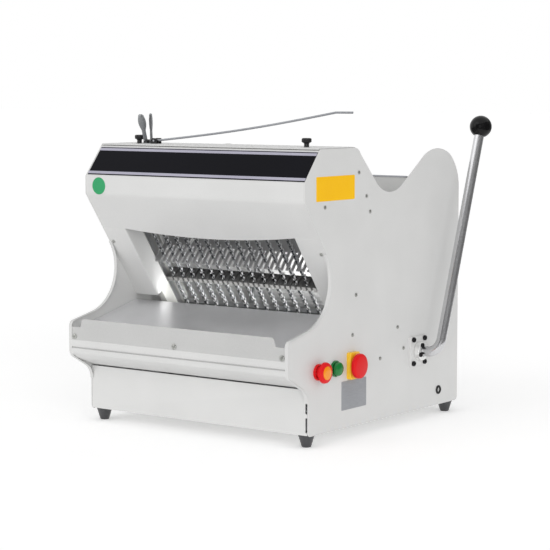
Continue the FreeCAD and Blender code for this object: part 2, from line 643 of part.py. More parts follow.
DRAWER_HALF = f"({INNER} - fit_gap)"
node(box("drawer_front", "case", (f"-{DRAWER_HALF}", DRAWER_HALF), ("0", "sheet_thick"),
         ("sheet_thick + fit_gap - panel_skirt", "drawer_height")), "crumb_drawer_front")


def drawer_pan():
    """Open pan behind the drawer's front."""
    low = "sheet_thick + 3.2"
    outer = box("pan_outer", "case", (f"-{DRAWER_HALF} + 4", f"{DRAWER_HALF} - 4"),
                ("sheet_thick", "drawer_pan_depth"), (low, f"{low} + drawer_pan_height"))
    inner = f"({DRAWER_HALF} - 4 - sheet_thick/2)"
    depth = ("1.5*sheet_thick", "drawer_pan_depth - sheet_thick/2")
    hollow = box("pan_hollow", "case", (f"-{inner}", inner), depth,
                 (f"{low} + sheet_thick/2", f"{low} + drawer_pan_height + 1"))
    return node(cut("pan", outer, hollow), "crumb_drawer_pan")


drawer_pan()

# -------------------------------------------------------------- outfeed tray

def outfeed_tray():
    """Steel tray below the outlet: a bed sloping to the front, behind a raised front lip."""
    front = "-nose_reach + 1.5*panel_thick"
    slope = [
        ("tray_back", "tray_high"),
        ("tray_back", "tray_high - 26"),
        ("tray_back - sheet_thick", "tray_high - 26"),
        ("tray_back - sheet_thick", "tray_high - 1.3*sheet_thick"),
        (front, "tray_low - sheet_thick"),
        (front, "tray_low"),
    ]
    bed = profile("tray_bed", "case", slope, (f"-{INNER} + open_gap", f"{INNER} - open_gap"))
    low = "nose_low + 5"
    apron = [
        ("-nose_reach", low),
        ("-nose_reach + 3", "nose_low - 7", "-nose_reach + 12", "nose_low - 13"),
        ("-nose_reach + 37", "nose_low - 26"),
        ("-nose_reach + 38", "nose_low - 24.2"),
        ("-nose_reach + 13", "nose_low - 11.2"),
        ("-nose_reach + 4.8", "nose_low - 6", "-nose_reach + panel_thick", low),
        ("-nose_reach + panel_thick", "apron_top"),
        ("-nose_reach", "apron_top"),
    ]
    lip = profile("tray_apron", "case", apron, ("-apron_half", "apron_half"))
    hanger = box("tray_hanger", "case", (f"-{INNER} + open_gap", f"{INNER} - open_gap"),
                 ("-nose_reach + panel_thick", "-nose_reach + 2*panel_thick"), (low, "tray_low"))
    holes = [rod(f"tray_hole_{index}", "case", (x, "-nose_reach", NOSE_SCREW_HEIGHT),
                 "screw_radius + run_fit", "2*panel_thick", "y") for index, x in enumerate(NOSE_SCREWS)]
    return node(cut("tray", fuse("tray_folded", bed, lip, hanger), *holes), "outfeed_tray")


outfeed_tray()

# --------------------------------------------------- chute cheeks, feed floor


def at_blade(n, t):
    """Case-frame y and z of a point given in the blade frame."""
    return (f"({CRANK_Y} + ({n})*cos(blade_tilt) - ({t})*sin(blade_tilt))",
            f"(crank_height + ({n})*sin(blade_tilt) + ({t})*cos(blade_tilt))")


def about_lever(radius, angle):
    """Case-frame y and z of a point at a radius and angle about the lever shaft."""
    return (f"(lever_back + ({radius})*cos({angle}))", f"(lever_height + ({radius})*sin({angle}))")


def on_floor(radius, n):
    """Case-frame y and z of the point of a circle about the lever shaft that lies at n."""
    return at_blade(n, f"{LEVER_T} + sqrt(({radius})^2 - ({LEVER_N} - ({n}))^2)")


CHEEK_N = "(frame_gap/2 + blade_depth + bar_web + 4)"
CHEEK_LOWEST = "(floor_radius - 50)"


def chute_cheek(word, side):
    """Plate beside the loaf, from just behind the blades to the back of the floor."""
    steps = [
        about_lever(CHEEK_LOWEST, "100") + on_floor(CHEEK_LOWEST, CHEEK_N),
        at_blade(CHEEK_N, "outlet_top + 4"),
        ("valley_depth - valley_half - 16", "valley_height + 19"),
        ("valley_depth - 36", "cheek_top"),
        ("panel_depth - 54", "cheek_top"),
        ("panel_depth - 26", "cheek_top - 34"),
        about_lever(CHEEK_LOWEST, "floor_rear + 2"),
    ]
    plate = profile(f"cheek_{word}", "case", steps, span(side, HALF_OUT, f"{HALF_OUT} + sheet_thick"))
    return node(plate, f"chute_cheek_{word}")


for word, side in SIDES:
    chute_cheek(word, side)


def blade_places(step=1, first=0):
    """The x of every blade, or of every second one from the given one on."""
    count = int(value("blade_side_count"))
    return [number*value("blade_pitch") for number in range(first - count, count + 1, step)]


def sector(name, near, far, start, end, x):
    """Piece of a ring about the lever shaft: two radii and two angles, padded along x."""
    middle = f"(({start}) + ({end}))/2"
    steps = [
        about_lever(far, start),
        about_lever(far, middle) + about_lever(far, end),
        about_lever(near, end),
        about_lever(near, middle) + about_lever(near, start),
    ]
    return profile(name, "case", steps, x)


def feed_floor():
    """Curved floor under the loaf, slotted for the pusher's arms, ending in fingers between blades."""
    inside = "(floor_radius - floor_thick)"
    reach = "-finger_reach"
    steps = [
        about_lever("floor_radius", "floor_rear"),
        about_lever("floor_radius", "100") + on_floor("floor_radius", reach),
        on_floor(inside, reach),
        about_lever(inside, "100") + about_lever(inside, "floor_rear"),
    ]
    sheet_arc = profile("floor_arc", "case", steps, (f"-{HALF_OUT}", HALF_OUT))
    gap = value("finger_gap/2")
    rear = value(f"{CHEEK_N} - 0.8")
    front = -value("finger_reach + 5")
    top = value("floor_radius + 15")
    slots = [block((x - gap, x + gap), (front, rear), (value("floor_radius - 40"), top))
             for x in blade_places()]
    comb = repeat("floor_slots", "blade", slots)
    arms = [sector(f"floor_arm_slot_{word}", "floor_radius - 15", "floor_radius + 15", "90 - lever_lean + 4",
                   "90 - lever_lean + lever_travel + 12.5", span(side, *ARM_SLOT)) for word, side in SIDES]
    return node(cut("floor", sheet_arc, comb, *arms), "feed_floor")


ARM_IN = "(arm_blade*blade_pitch - arm_thick/2)"
ARM_OUT = "(arm_blade*blade_pitch + arm_thick/2)"
ARM_SLOT = (f"{ARM_IN} - 1.5", f"{ARM_OUT} + 1.5")
feed_floor()

# -------------------------------------------------- blades and their frames

BAR_DEPTH = "(blade_depth + bar_web)"
FRONT_N = ("-frame_gap/2 - blade_depth - bar_web", "-frame_gap/2")
REAR_N = ("frame_gap/2", "frame_gap/2 + blade_depth + bar_web")
FRONT_LUG = "(front_rod_at - open_gap - rod_thick)"
REAR_LUG = "(rear_rod_at - open_gap - rod_thick)"


def blade_frame(word, depth, lug, first):
    """Two cross bars with a slot for every second blade, two side rails and two lugs for the rods."""
    rails = [box(f"{word}_rail_{end}", "blade", span(side, "frame_half - rail_thick", "frame_half"),
                 depth, ("lower_bar", "upper_bar + bar_height")) for end, side in SIDES]
    bars = [box(f"{word}_bar_{low}", "blade", ("-frame_half + 1", "frame_half - 1"),
                depth, (low, f"{low} + bar_height")) for low in ("lower_bar", "upper_bar")]
    lugs = [box(f"{word}_lug_{end}", "blade", span(side, lug, f"{lug} + rod_thick"),
                depth, ("rod_length - small_end", "lower_bar + 1")) for end, side in SIDES]
    half = value("blade_thick/2 + run_fit")
    floor = value(depth[0] + " + bar_web")
    back = value(depth[1]) + 1
    slots = [block((x - half, x + half), (floor, back), (value(low) - 1, value(f"{low} + bar_height") + 1))
             for low in ("lower_bar", "upper_bar") for x in blade_places(2, first)]
    comb = repeat(f"{word}_slots", "blade", slots)
    return node(cut(f"{word}_frame", fuse(f"{word}_frame_bars", *rails, *bars, *lugs), comb),
                f"{word}_blade_frame")


def blades(word, depth, first):
    """Every second blade, hooked over the cross bars by a head at each end."""
    half = value("blade_thick/2")
    head = value("blade_pitch/3")
    near = value(depth[0] + " + bar_web")
    far = value(depth[1])
    low = value("lower_bar")
    high = value("upper_bar + bar_height")
    shapes = []
    for x in blade_places(2, first):
        strip = block((x - half, x + half), (near, far), (low - 3, high + 3))
        heads = [block((x - head, x + head), (near, far), ends) for ends in ((low - 3, low), (high, high + 3))]
        shapes.append(strip.fuse(heads).removeSplitter())
    return node(repeat(f"{word}_strips", "blade", shapes), f"{word}_blades")


# The blades alternate: the outermost ones and every second from there hang in the front frame.
blade_frame("front", FRONT_N, FRONT_LUG, 0)
blades("front", FRONT_N, 0)
blade_frame("rear", REAR_N, REAR_LUG, 1)
blades("rear", REAR_N, 1)


def blade_guide(word, low):
    """Comb across the machine: a spine behind the blades, teeth between them."""
    spine_n = f"frame_gap/2 + {BAR_DEPTH} + 1"
    inner = "(frame_half - rail_thick - 1)"
    outer = "(frame_half - rail_thick + 1)"
    rise = (low, f"{low} + 10")
    spine = box(f"{word}_spine", "blade", (f"-{outer}", outer), (spine_n, f"{spine_n} + 4"), rise)
    teeth = box(f"{word}_teeth", "blade", (f"-{inner}", inner), (FRONT_N[0], spine_n), rise)
    half = value("blade_thick/2 + 0.4" if word == "upper" else "guide_low_gap/2")
    back = value(spine_n)
    front = value(FRONT_N[0]) - 1
    slots = [block((x - half, x + half), (front, back), (value(low) - 1, value(low) + 11))
             for x in blade_places()]
    comb = repeat(f"{word}_guide_slots", "blade", slots)
    return node(cut(f"{word}_guide", fuse(f"{word}_guide_bar", spine, teeth), comb), f"blade_guide_{word}")


blade_guide("upper", "(outlet_top + 9)")
blade_guide("lower", "(floor_radius - 78)")


def guide_rail(word, side):
    """Grooved block in which both frames' side rails slide."""
    face = "(frame_half - rail_thick + 1)"
    solid = box(f"{word}_guide_block", "blade", span(side, face, f"{face} + guide_depth"),
                ("-blade_setback + 19", f"frame_gap/2 + {BAR_DEPTH} + 6"), ("guide_low", "guide_high"))
    across = span(side, f"{face} - 1", "frame_half + groove_fit")
    grooves = [box(f"{word}_groove_{index}", "blade", across, (f"{near} - groove_fit", f"{far} + groove_fit"),
                   ("guide_low - 1", "guide_high + 1")) for index, (near, far) in enumerate((FRONT_N, REAR_N))]
    return node(cut(f"{word}_guide_rail", solid, *grooves), f"guide_rail_{word}")


for word, side in SIDES:
    guide_rail(word, side)

# ---------------------------------------------------------- eccentric drive

node(rod("crank_bar", "blade", (f"-{INNER} + 2", "0", "0"), "shaft_radius", f"2*{INNER} - 4"), "crankshaft")


def eccentric_discs():
    """Four discs on the shaft, one pair thrown forward and one pair back."""
    discs = []
    for word, side in SIDES:
        for near, throw in (("front_rod_at", "-half_stroke"), ("rear_rod_at", "half_stroke")):
            low = span(side, near, f"{near} + rod_thick")[0]
            disc = rod(f"disc_{word}_{near}", "blade", (low, throw, "0"), "disc_radius", "rod_thick")
            bore = rod(f"disc_bore_{word}_{near}", "blade", (low, "0", "0"), "shaft_radius", "rod_thick")
            discs.append(cut(f"disc_cut_{word}_{near}", disc, bore))
    return node(group("discs", *discs), "eccentric_discs")


def conrods(word, near, throw, lean):
    """A pair of rods: a ring round the disc, a shank and a small end beside the frame's lug."""
    rods = []
    for end, side in SIDES:
        x = span(side, near, f"{near} + rod_thick")
        low = x[0]
        name = f"{word}_{end}"
        ring = rod(f"{name}_ring", "blade", (low, throw, "0"), "disc_radius + run_fit + rod_ring", "rod_thick")
        small = rod(f"{name}_small", "blade", (low, lean, "rod_length"), "small_end", "rod_thick")
        shank = profile(f"{name}_shank", "blade", [
            (f"{throw} - 9", "disc_radius - 4"),
            (f"{throw} + 9", "disc_radius - 4"),
            (f"{lean} + 9", "rod_length"),
            (f"{lean} - 9", "rod_length"),
        ], x)
        bore = rod(f"{name}_bore", "blade", (low, throw, "0"), "disc_radius + run_fit", "rod_thick")
        rods.append(cut(f"{name}_rod", fuse(f"{name}_blank", ring, small, shank), bore))
    return node(group(f"{word}_rods", *rods), f"{word}_conrods")


eccentric_discs()
conrods("front", "front_rod_at", "-half_stroke", f"-(frame_gap + {BAR_DEPTH})/2")
conrods("rear", "rear_rod_at", "half_stroke", f"(frame_gap + {BAR_DEPTH})/2")


def crank_bearings():
    """Plate on each side panel that carries the eccentric shaft."""
    plates = []
    for word, side in SIDES:
        x = span(side, f"{INNER} - bearing_thick", INNER)
        solid = box(f"{word}_bearing_block", "case", x, (f"{CRANK_Y} - 87", f"{CRANK_Y} + 27"),
                    ("crank_height - 33", "crank_height + 111"))
        bore = rod(f"{word}_bearing_bore", "blade", (x[0], "0", "0"), "shaft_radius + run_fit", "bearing_thick")
        holes = [rod(f"{word}_bearing_hole_{index}", "case", (x[0], y, z), "screw_radius + run_fit",
                     "bearing_thick") for index, (y, z) in enumerate(BEARING_SCREWS)]
        plates.append(cut(f"{word}_bearing", solid, bore, *holes))
    return node(group("bearings", *plates), "crank_bearings")


crank_bearings()


def pulley(name, frame, y, z, groove, bore):
    """Flat-belt pulley with a rim on each side, bored for its shaft."""
    rim = f"{groove} + pulley_rim"
    body = lathe(name, frame, ("-pulley_at - pulley_width", y, z), [
        ("0", bore),
        ("pulley_width", bore),
        ("pulley_width", rim),
        ("(pulley_width + belt_width)/2 + 1", rim),
        ("(pulley_width + belt_width)/2 + 1", groove),
        ("(pulley_width - belt_width)/2 - 1", groove),
        ("(pulley_width - belt_width)/2 - 1", rim),
        ("0", rim),
    ])
    return body


node(pulley("crank_wheel", "blade", "0", "0", "crank_groove", "shaft_radius"), "crank_pulley")
node(pulley("motor_wheel", "case", "motor_back", "motor_height", "motor_groove", "motor_shaft_radius"),
     "motor_pulley")


def belt_loop(name, extra, x):
    """Outline round both pulleys, a given distance off their groove floors."""
    run_y = f"(motor_back - {CRANK_Y})"
    run_z = "(motor_height - crank_height)"
    run = f"sqrt({run_y}^2 + {run_z}^2)"
    across = f"((crank_groove - motor_groove)/{run})"
    along = f"sqrt(1 - {across}^2)"
    big = f"(crank_groove + {extra})"
    small = f"(motor_groove + {extra})"

    def point(centre_y, centre_z, radius, ahead, aside):
        return (f"{centre_y} + {radius}*(({ahead})*{run_y} - ({aside})*{run_z})/{run}",
                f"{centre_z} + {radius}*(({ahead})*{run_z} + ({aside})*{run_y})/{run}")

    crank = (CRANK_Y, "crank_height", big)
    motor = ("motor_back", "motor_height", small)
    steps = [
        point(*crank, "-1", "0") + point(*crank, across, f"-{along}"),
        point(*motor, across, f"-{along}"),
        point(*motor, "1", "0") + point(*motor, across, along),
        point(*crank, across, along),
    ]
    return profile(name, "case", steps, x)


BELT_X = ("-pulley_at - (pulley_width + belt_width)/2", "-pulley_at - (pulley_width - belt_width)/2")
node(cut("belt", belt_loop("belt_outside", "open_gap + belt_thick", BELT_X),
         belt_loop("belt_inside", "open_gap", BELT_X)), "drive_belt")

# -------------------------------------------------------------------- motor

MOTOR_AXIS = ("motor_back", "motor_height")
MOTOR_RIGHT = "(motor_left + motor_length)"


def motor():
    """Housing with a terminal box and a fan cowl."""
    drum = rod("motor_drum", "case", ("motor_left", *MOTOR_AXIS), "motor_radius", "motor_length")
    cowl = rod("motor_cowl", "case", (MOTOR_RIGHT, *MOTOR_AXIS), "motor_radius - 3", "20")
    terminals = box("motor_terminals", "case", ("motor_left + 45", "motor_left + 125"),
                    ("motor_back - 25", "motor_back + 25"),
                    ("motor_height + 40", "motor_height + motor_radius + 20"))
    bore = rod("motor_bore", "case", ("motor_left", *MOTOR_AXIS), "motor_shaft_radius + run_fit",
               "motor_length - 20")
    return node(cut("motor_body", fuse("motor_solid", drum, cowl, terminals), bore), "motor")


def motor_bracket():
    """Two cradles under the motor on a plate screwed to the base."""
    plate = box("bracket_plate", "case", ("motor_left + 10", f"{MOTOR_RIGHT} - 10"),
                ("motor_back - 50", "motor_back + 50"), ("sheet_thick", "2*sheet_thick"))
    cradles = [box(f"cradle_{index}", "case", (low, f"{low} + 10"), ("motor_back - 46", "motor_back + 46"),
                   ("1.5*sheet_thick", "motor_height - 20"))
               for index, low in enumerate(("(motor_left + 30)", f"({MOTOR_RIGHT} - 40)"))]
    seat = rod("cradle_seat", "case", ("motor_left", *MOTOR_AXIS), "motor_radius", "motor_length")
    return node(cut("bracket", fuse("bracket_blank", plate, *cradles), seat), "motor_bracket")


motor()
motor_bracket()
node(rod("motor_rod", "case", ("-pulley_at - pulley_width - 2", *MOTOR_AXIS), "motor_shaft_radius",
         "pulley_at + pulley_width + 2 + motor_left + motor_length - 21"), "motor_shaft")

# ----------------------------------------------------------- lever and pusher

SHAFT_LEFT = "(2 - front_rod_at)"
BRACKET_X = (f"{SHAFT_LEFT} + 2", f"{SHAFT_LEFT} + 10")
node(rod("lever_bar", "lever", (SHAFT_LEFT, "0", "0"), "lever_shaft_radius", f"hub_face - {SHAFT_LEFT}"),
     "lever_shaft")


def lever_bearing():
    """Square flange on the outside of the right panel, bored for the lever shaft."""
    plate = box("flange_plate", "case", ("case_width/2", "case_width/2 + flange_thick"),
                ("lever_back - flange_side/2", "lever_back + flange_side/2"),
                ("lever_height - flange_side/2", "lever_height + flange_side/2"))
    bore = rod("flange_bore", "lever", ("case_width/2", "0", "0"), "lever_shaft_radius + run_fit",
               "flange_thick")
    holes = [rod(f"flange_hole_{index}", "case", ("case_width/2", f"lever_back + {y}", f"lever_height + {z}"),
                 "bolt_radius + run_fit", "flange_thick") for index, (y, z) in enumerate(FLANGE_BOLTS)]
    return node(cut("flange", plate, bore, *holes), "lever_bearing")


def shaft_bracket():
    """Upright plate on the base that carries the far end of the lever shaft."""
    plate = box("shaft_plate", "case", BRACKET_X, ("lever_back - 20", "lever_back + 20"),
                ("sheet_thick", "lever_height + 25"))
    foot = box("shaft_plate_foot", "case", (BRACKET_X[0], f"{BRACKET_X[1]} + 12"),
               ("lever_back - 20", "lever_back + 20"), ("sheet_thick", "sheet_thick + 6"))
    bore = rod("shaft_plate_bore", "lever", (BRACKET_X[0], "0", "0"), "lever_shaft_radius + run_fit", "8")
    return node(cut("shaft_support", fuse("shaft_support_blank", plate, foot), bore), "shaft_bracket")


lever_bearing()
shaft_bracket()

HUB_LOW = "(case_width/2 + flange_thick + open_gap)"
HUB_SCREW_AHEAD = "-0.58*hub_radius"
HUB_SCREWS = ["0.52*hub_radius", "-0.52*hub_radius"]


def lever_hub():
    """Disc clamped on the shaft's end, drilled for its two screws."""
    disc = rod("hub_disc", "lever", (HUB_LOW, "0", "0"), "hub_radius", f"hub_face - {HUB_LOW}")
    tools = [rod("hub_bore", "lever", (HUB_LOW, "0", "0"), "lever_shaft_radius", f"hub_face - {HUB_LOW}")]
    tools += [rod(f"hub_screw_hole_{index}", "lever", ("hub_face - 8", HUB_SCREW_AHEAD, z),
                  "screw_radius", "8") for index, z in enumerate(HUB_SCREWS)]
    return node(cut("hub", disc, *tools), "lever_hub")


def hub_screws():
    screws = []
    for index, z in enumerate(HUB_SCREWS):
        shank = rod(f"hub_screw_shank_{index}", "lever", ("hub_face - 8", HUB_SCREW_AHEAD, z), "screw_radius", "8")
        head = rod(f"hub_screw_head_{index}", "lever", ("hub_face", HUB_SCREW_AHEAD, z), "1.1*screw_head", "3")
        screws.append(fuse(f"hub_screw_{index}", shank, head))
    return node(group("hub_screw_pair", *screws), "hub_screws")


def lever_rod():
    """Round bar: a short leg out of the hub, a quarter bend and the long leg up to the ball."""
    short = rod("rod_short", "lever", ("hub_face", "0", "0"), "lever_radius",
                "lever_out - lever_bend - hub_face")
    long = rod("rod_long", "lever", ("lever_out", "0", "lever_bend"), "lever_radius",
               "lever_length - lever_bend", "z")
    elbow = doc.addObject("Part::Torus", "rod_elbow")
    bind(elbow, "Radius1", "lever_bend")
    bind(elbow, "Radius2", "lever_radius")
    elbow.Angle3 = 90
    base_y, base_z, tilt = FRAMES["lever"]
    centre = ("lever_out - lever_bend", f"{base_y} - lever_bend*sin({tilt})",
              f"{base_z} + lever_bend*cos({tilt})")
    turn = f"rotation(vector(1; 0; 0); {tilt}) * rotation(vector(1; 1; -1); 120)"
    bind(elbow, "Placement", f"placement(vector({'; '.join(centre)}); {turn})")
    return node(fuse("lever_bent", short, elbow, long), "lever_rod")


def ball_knob():
    """Ball on the lever's end, bored for the bar."""
    ball = doc.addObject("Part::Sphere", "ball")
    bind(ball, "Radius", "ball_radius")
    place(ball, "lever", "lever_out", "0", "lever_length")
    bore = rod("ball_bore", "lever", ("lever_out", "0", "lever_length - 1.5*ball_radius"), "lever_radius",
               "1.5*ball_radius", "z")
    return node(cut("ball_bored", ball, bore), "ball_knob")


def pusher_arms():
    """Two arms keyed on the shaft, up through the floor's slots to the pusher."""
    arms = []
    for word, side in SIDES:
        x = span(side, ARM_IN, ARM_OUT)
        hub = rod(f"{word}_arm_hub", "lever", (x[0], "0", "0"), "hub_radius", "arm_thick")
        plate = profile(f"{word}_arm_plate", "lever", [
            ("18", "-6"),
            ("18", "8"),
            ("-pusher_ahead + 28", "pusher_low - 60"),
            ("-pusher_ahead + 28", "pusher_high - 2"),
            ("-pusher_ahead + sheet_thick", "pusher_high - 2"),
            ("-pusher_ahead + sheet_thick", "pusher_low - 60"),
            ("-20", "-6"),
        ], x)
        bore = rod(f"{word}_arm_bore", "lever", (x[0], "0", "0"), "lever_shaft_radius", "arm_thick")
        arms.append(cut(f"{word}_arm", fuse(f"{word}_arm_blank", hub, plate), bore))
    return node(group("arms", *arms), "pusher_arms")


def pusher_comb():
    """Plate behind the loaf with a tine for every gap between two blades."""
    plate = box("pusher_plate", "lever", ("-pusher_half", "pusher_half"),
                ("-pusher_ahead", "-pusher_ahead + sheet_thick"), ("pusher_low", "pusher_high"))
    half = value("tine_thick/2")
    ahead = -value("pusher_ahead")
    rise = (value("pusher_low"), value("tine_high"))
    gaps = [x + value("blade_pitch/2") for x in blade_places()[:-1]]
    tines = repeat("pusher_tines", "lever", [
        block((x - half, x + half), (ahead - value("tine_reach"), ahead + 1), rise)
        for x in gaps])
    return node(fuse("pusher", plate, tines), "pusher_comb")


for build in (lever_hub, hub_screws, lever_rod, ball_knob, pusher_arms, pusher_comb):
    build()

# ------------------------------------------------------------------- buttons

BUTTONS = {
    "stop": ("stop_back", "button_stem", "collar_radius", "collar_thick"),
    "start": (START_BACK, "button_stem", "collar_radius", "collar_thick"),
    "estop": (ESTOP_BACK, "estop_stem_radius", "estop_radius", "estop_collar_thick"),
}
NECK_LOW = "(case_width/2 - 14)"
STEM_LOW = "(case_width/2 - 8)"


def collar(word):
    """Collar on the panel with a neck through it, bored for the button's stem."""
    y, stem, radius, thick = BUTTONS[word]
    start = (NECK_LOW, y, "button_height")
    if word == "estop":
        rim = box("estop_rim", "case", ("case_width/2", f"case_width/2 + {thick}"),
                  (f"{y} - estop_collar_side/2", f"{y} + estop_collar_side/2"),
                  ("button_height - estop_collar_tall/2", "button_height + estop_collar_tall/2"))
    else:
        rim = rod(f"{word}_rim", "case", ("case_width/2", y, "button_height"), radius, thick)
    neck = rod(f"{word}_neck", "case", start, f"{stem} + collar_wall", "15")
    bore = rod(f"{word}_collar_bore", "case", start, f"{stem} + run_fit", f"16 + {thick}")
    return cut(f"{word}_collar", fuse(f"{word}_collar_blank", rim, neck), bore)


def contact_block(word):
    y = BUTTONS[word][0]
    return box(f"{word}_contacts", "case", (f"{NECK_LOW} - 30", NECK_LOW), (f"{y} - 15", f"{y} + 15"),
               ("button_height - 18", "button_height + 18"))


def button(word, radius, thick, stand):
    """Stem through the collar and the cap on it, with room to be pressed in."""
    y, stem, rim, collar_width = BUTTONS[word]
    back = f"(case_width/2 + {collar_width} + {stand})"
    shaft = rod(f"{word}_stem", "case", (STEM_LOW, y, "button_height"), stem, f"{back} - {STEM_LOW} + 1")
    cap = rod(f"{word}_cap", "case", (back, y, "button_height"), radius, f"0.55*{thick}")
    dome = cone(f"{word}_dome", "case", (f"{back} + 0.55*{thick}", y, "button_height"), radius,
                f"0.72*{radius}", f"0.45*{thick}")
    return fuse(f"{word}_button", shaft, cap, dome)


node(group("small_collars", collar("stop"), collar("start")), "button_collars")
node(collar("estop"), "estop_collar")
node(button("stop", "stop_radius", "8", "stop_stand"), "stop_button_head")
node(button("start", "start_radius", "6", "start_stand"), "start_button_cap")
node(group("contacts", *[contact_block(word) for word in BUTTONS]), "contact_blocks")

ESTOP_BACK_FACE = "(case_width/2 + estop_collar_thick + 6)"


def estop_stem():
    """Stem that slides in the collar, with a thinner spigot inside the head."""
    thick = rod("estop_shank", "case", (STEM_LOW, ESTOP_BACK, "button_height"), "estop_stem_radius",
                f"{ESTOP_BACK_FACE} - {STEM_LOW}")
    thin = rod("estop_spigot", "case", (STEM_LOW, ESTOP_BACK, "button_height"), "0.5*estop_stem_radius",
               f"{ESTOP_BACK_FACE} - {STEM_LOW} + 7")
    return node(fuse("estop_rod", thick, thin), "estop_stem")


def estop_head():
    """Mushroom head that turns on the stem's spigot."""
    start = (ESTOP_BACK_FACE, ESTOP_BACK, "button_height")
    disc = rod("estop_disc", "case", (f"{ESTOP_BACK_FACE} + open_gap/3", *start[1:]), "estop_radius", "5")
    dome = cone("estop_dome", "case", (f"{ESTOP_BACK_FACE} + 5", *start[1:]), "estop_radius",
                "0.8*estop_radius", "4")
    bore = rod("estop_bore", "case", start, "0.5*estop_stem_radius + run_fit", "7.1")
    return node(cut("estop_mushroom", fuse("estop_solid", disc, dome), bore), "estop_head")


estop_stem()
estop_head()

# ------------------------------------------------- feet, screws and fittings


def rubber_feet():
    """Four tapered feet with a neck and a lip above the base, each bored through for a bench stud."""
    feet = []
    for index, (x, y) in enumerate(FEET):
        taper = cone(f"foot_taper_{index}", "case", (x, y, "-foot_height"), "foot_low_radius",
                     "foot_top_radius", "foot_height", "z")
        neck = rod(f"foot_neck_{index}", "case", (x, y, "-1"), "foot_neck", "sheet_thick + 2", "z")
        lip = rod(f"foot_lip_{index}", "case", (x, y, "sheet_thick"), "foot_neck + 3", "2.5", "z")
        bore = rod(f"foot_bore_{index}", "case", (x, y, "-foot_height"), "foot_bore", "foot_height + 9", "z")
        feet.append(cut(f"foot_{index}", fuse(f"foot_blank_{index}", taper, neck, lip), bore))
    return node(group("feet", *feet), "rubber_feet")


def bearing_bolts():
    """Bolts of the lever bearing, through the right panel."""
    bolts = []
    face = "case_width/2 + flange_thick"
    for index, (dy, dz) in enumerate(FLANGE_BOLTS):
        spot = (f"lever_back + {dy}", f"lever_height + {dz}")
        shank = rod(f"flange_bolt_shank_{index}", "case", (f"{face} - 16", *spot), "bolt_radius", "16")
        head = rod(f"flange_bolt_head_{index}", "case", (face, *spot), "bolt_head", "bolt_drop")
        bolts.append(fuse(f"flange_bolt_{index}", shank, head))
    return node(group("bolts", *bolts), "bearing_bolts")


def screw_shape(length):
    """A pan-head screw along -z from the face it clamps, the head above."""
    shank = Part.makeCylinder(value("screw_radius"), length, FreeCAD.Vector(0, 0, -length))
    head = Part.makeCone(value("screw_head"), value("0.6*screw_head"), value("0.5*screw_head"))
    return shank.fuse(head).removeSplitter()


def panel_screws():
    """Every outside screw: both panels, both noses, the apron and the hood's legs."""
    screws = []
    shape = screw_shape(value("screw_length"))
    spots = []
    for word, side in SIDES:
        turn = FreeCAD.Rotation(FreeCAD.Vector(0, 1, 0), 90*side)
        spots += [((f"{side}*case_width/2", y, z), turn, "case") for y, z in SCREWED]
        spots.append(((f"{side}*{TAB_X}", "-blade_setback", TAB_MIDDLE), None, "blade"))
    spots += [((x, "-nose_reach", NOSE_SCREW_HEIGHT), None, "case") for x in NOSE_SCREWS]
    for (x, y, z), turn, frame in spots:
        base_y, base_z, tilt = FRAMES[frame]
        angle = value(tilt)
        where = FreeCAD.Vector(0, value(y), value(z))
        tip = FreeCAD.Rotation(FreeCAD.Vector(1, 0, 0), angle)
        origin = tip.multVec(where) + FreeCAD.Vector(value(x), value(base_y), value(base_z))
        face = turn or tip.multiply(FreeCAD.Rotation(FreeCAD.Vector(1, 0, 0), 90))
        copy = shape.copy()
        copy.Placement = FreeCAD.Placement(origin, face)
        screws.append(copy)
    feature = doc.addObject("Part::Feature", "screws")
    feature.Shape = Part.makeCompound(screws)
    return node(feature, "panel_screws")


GUIDE_BACK = "(frame_half - rail_thick + 1 + guide_depth)"


def spacer_posts():
    """Posts between each panel and the guide block or chute cheek behind it."""
    posts = []
    for word, side in SIDES:
        for index, (y, z) in enumerate((GUIDE_TOP, GUIDE_LOW, CHEEK_HIGH, CHEEK_LOW, CHEEK_REAR)):
            inner = GUIDE_BACK if index < 2 else f"({HALF_OUT} + sheet_thick)"
            x = span(side, inner, INNER)
            solid = rod(f"{word}_post_{index}", "case", (x[0], y, z), "post_radius", f"{INNER} - {inner}")
            if index == 4:
                posts.append(solid)
                continue
            near = span(side, f"{INNER} - screw_length", INNER)[0]
            bore = rod(f"{word}_post_bore_{index}", "case", (near, y, z), "screw_radius + run_fit",
                       "screw_length")
            posts.append(cut(f"{word}_post_cut_{index}", solid, bore))
    return node(group("posts", *posts), "spacer_posts")


def tie_rods():
    """Two bars from panel to panel, tapped at both ends."""
    ties = []
    for index, (y, z) in enumerate((ROOF_TIE, TRAY_TIE)):
        bar = rod(f"tie_{index}", "case", (f"-{INNER}", y, z), "post_radius", f"2*{INNER}")
        near = f"({INNER} - screw_length)"
        bores = [rod(f"tie_bore_{index}_{word}", "case", (span(side, near, INNER)[0], y, z),
                     "screw_radius + run_fit", "screw_length") for word, side in SIDES]
        ties.append(cut(f"tie_cut_{index}", bar, *bores))
    return node(group("ties", *ties), "tie_rods")


def cable_grommet():
    """Bush in the panel where a mains cable would enter."""
    spot = ("inlet_back", "inlet_height")
    rim = rod("grommet_rim", "case", ("case_width/2", *spot), "grommet_radius", "3")
    neck = rod("grommet_bush", "case", (f"{INNER} - 2", *spot), "grommet_neck", "panel_thick + 3")
    inner = rod("grommet_lip", "case", (f"{INNER} - 4", *spot), "grommet_radius", "4")
    bore = rod("grommet_bore", "case", (f"{INNER} - 5", *spot), "inlet_bore", "panel_thick + 9")
    return node(cut("grommet", fuse("grommet_solid", rim, neck, inner), bore), "cable_grommet")


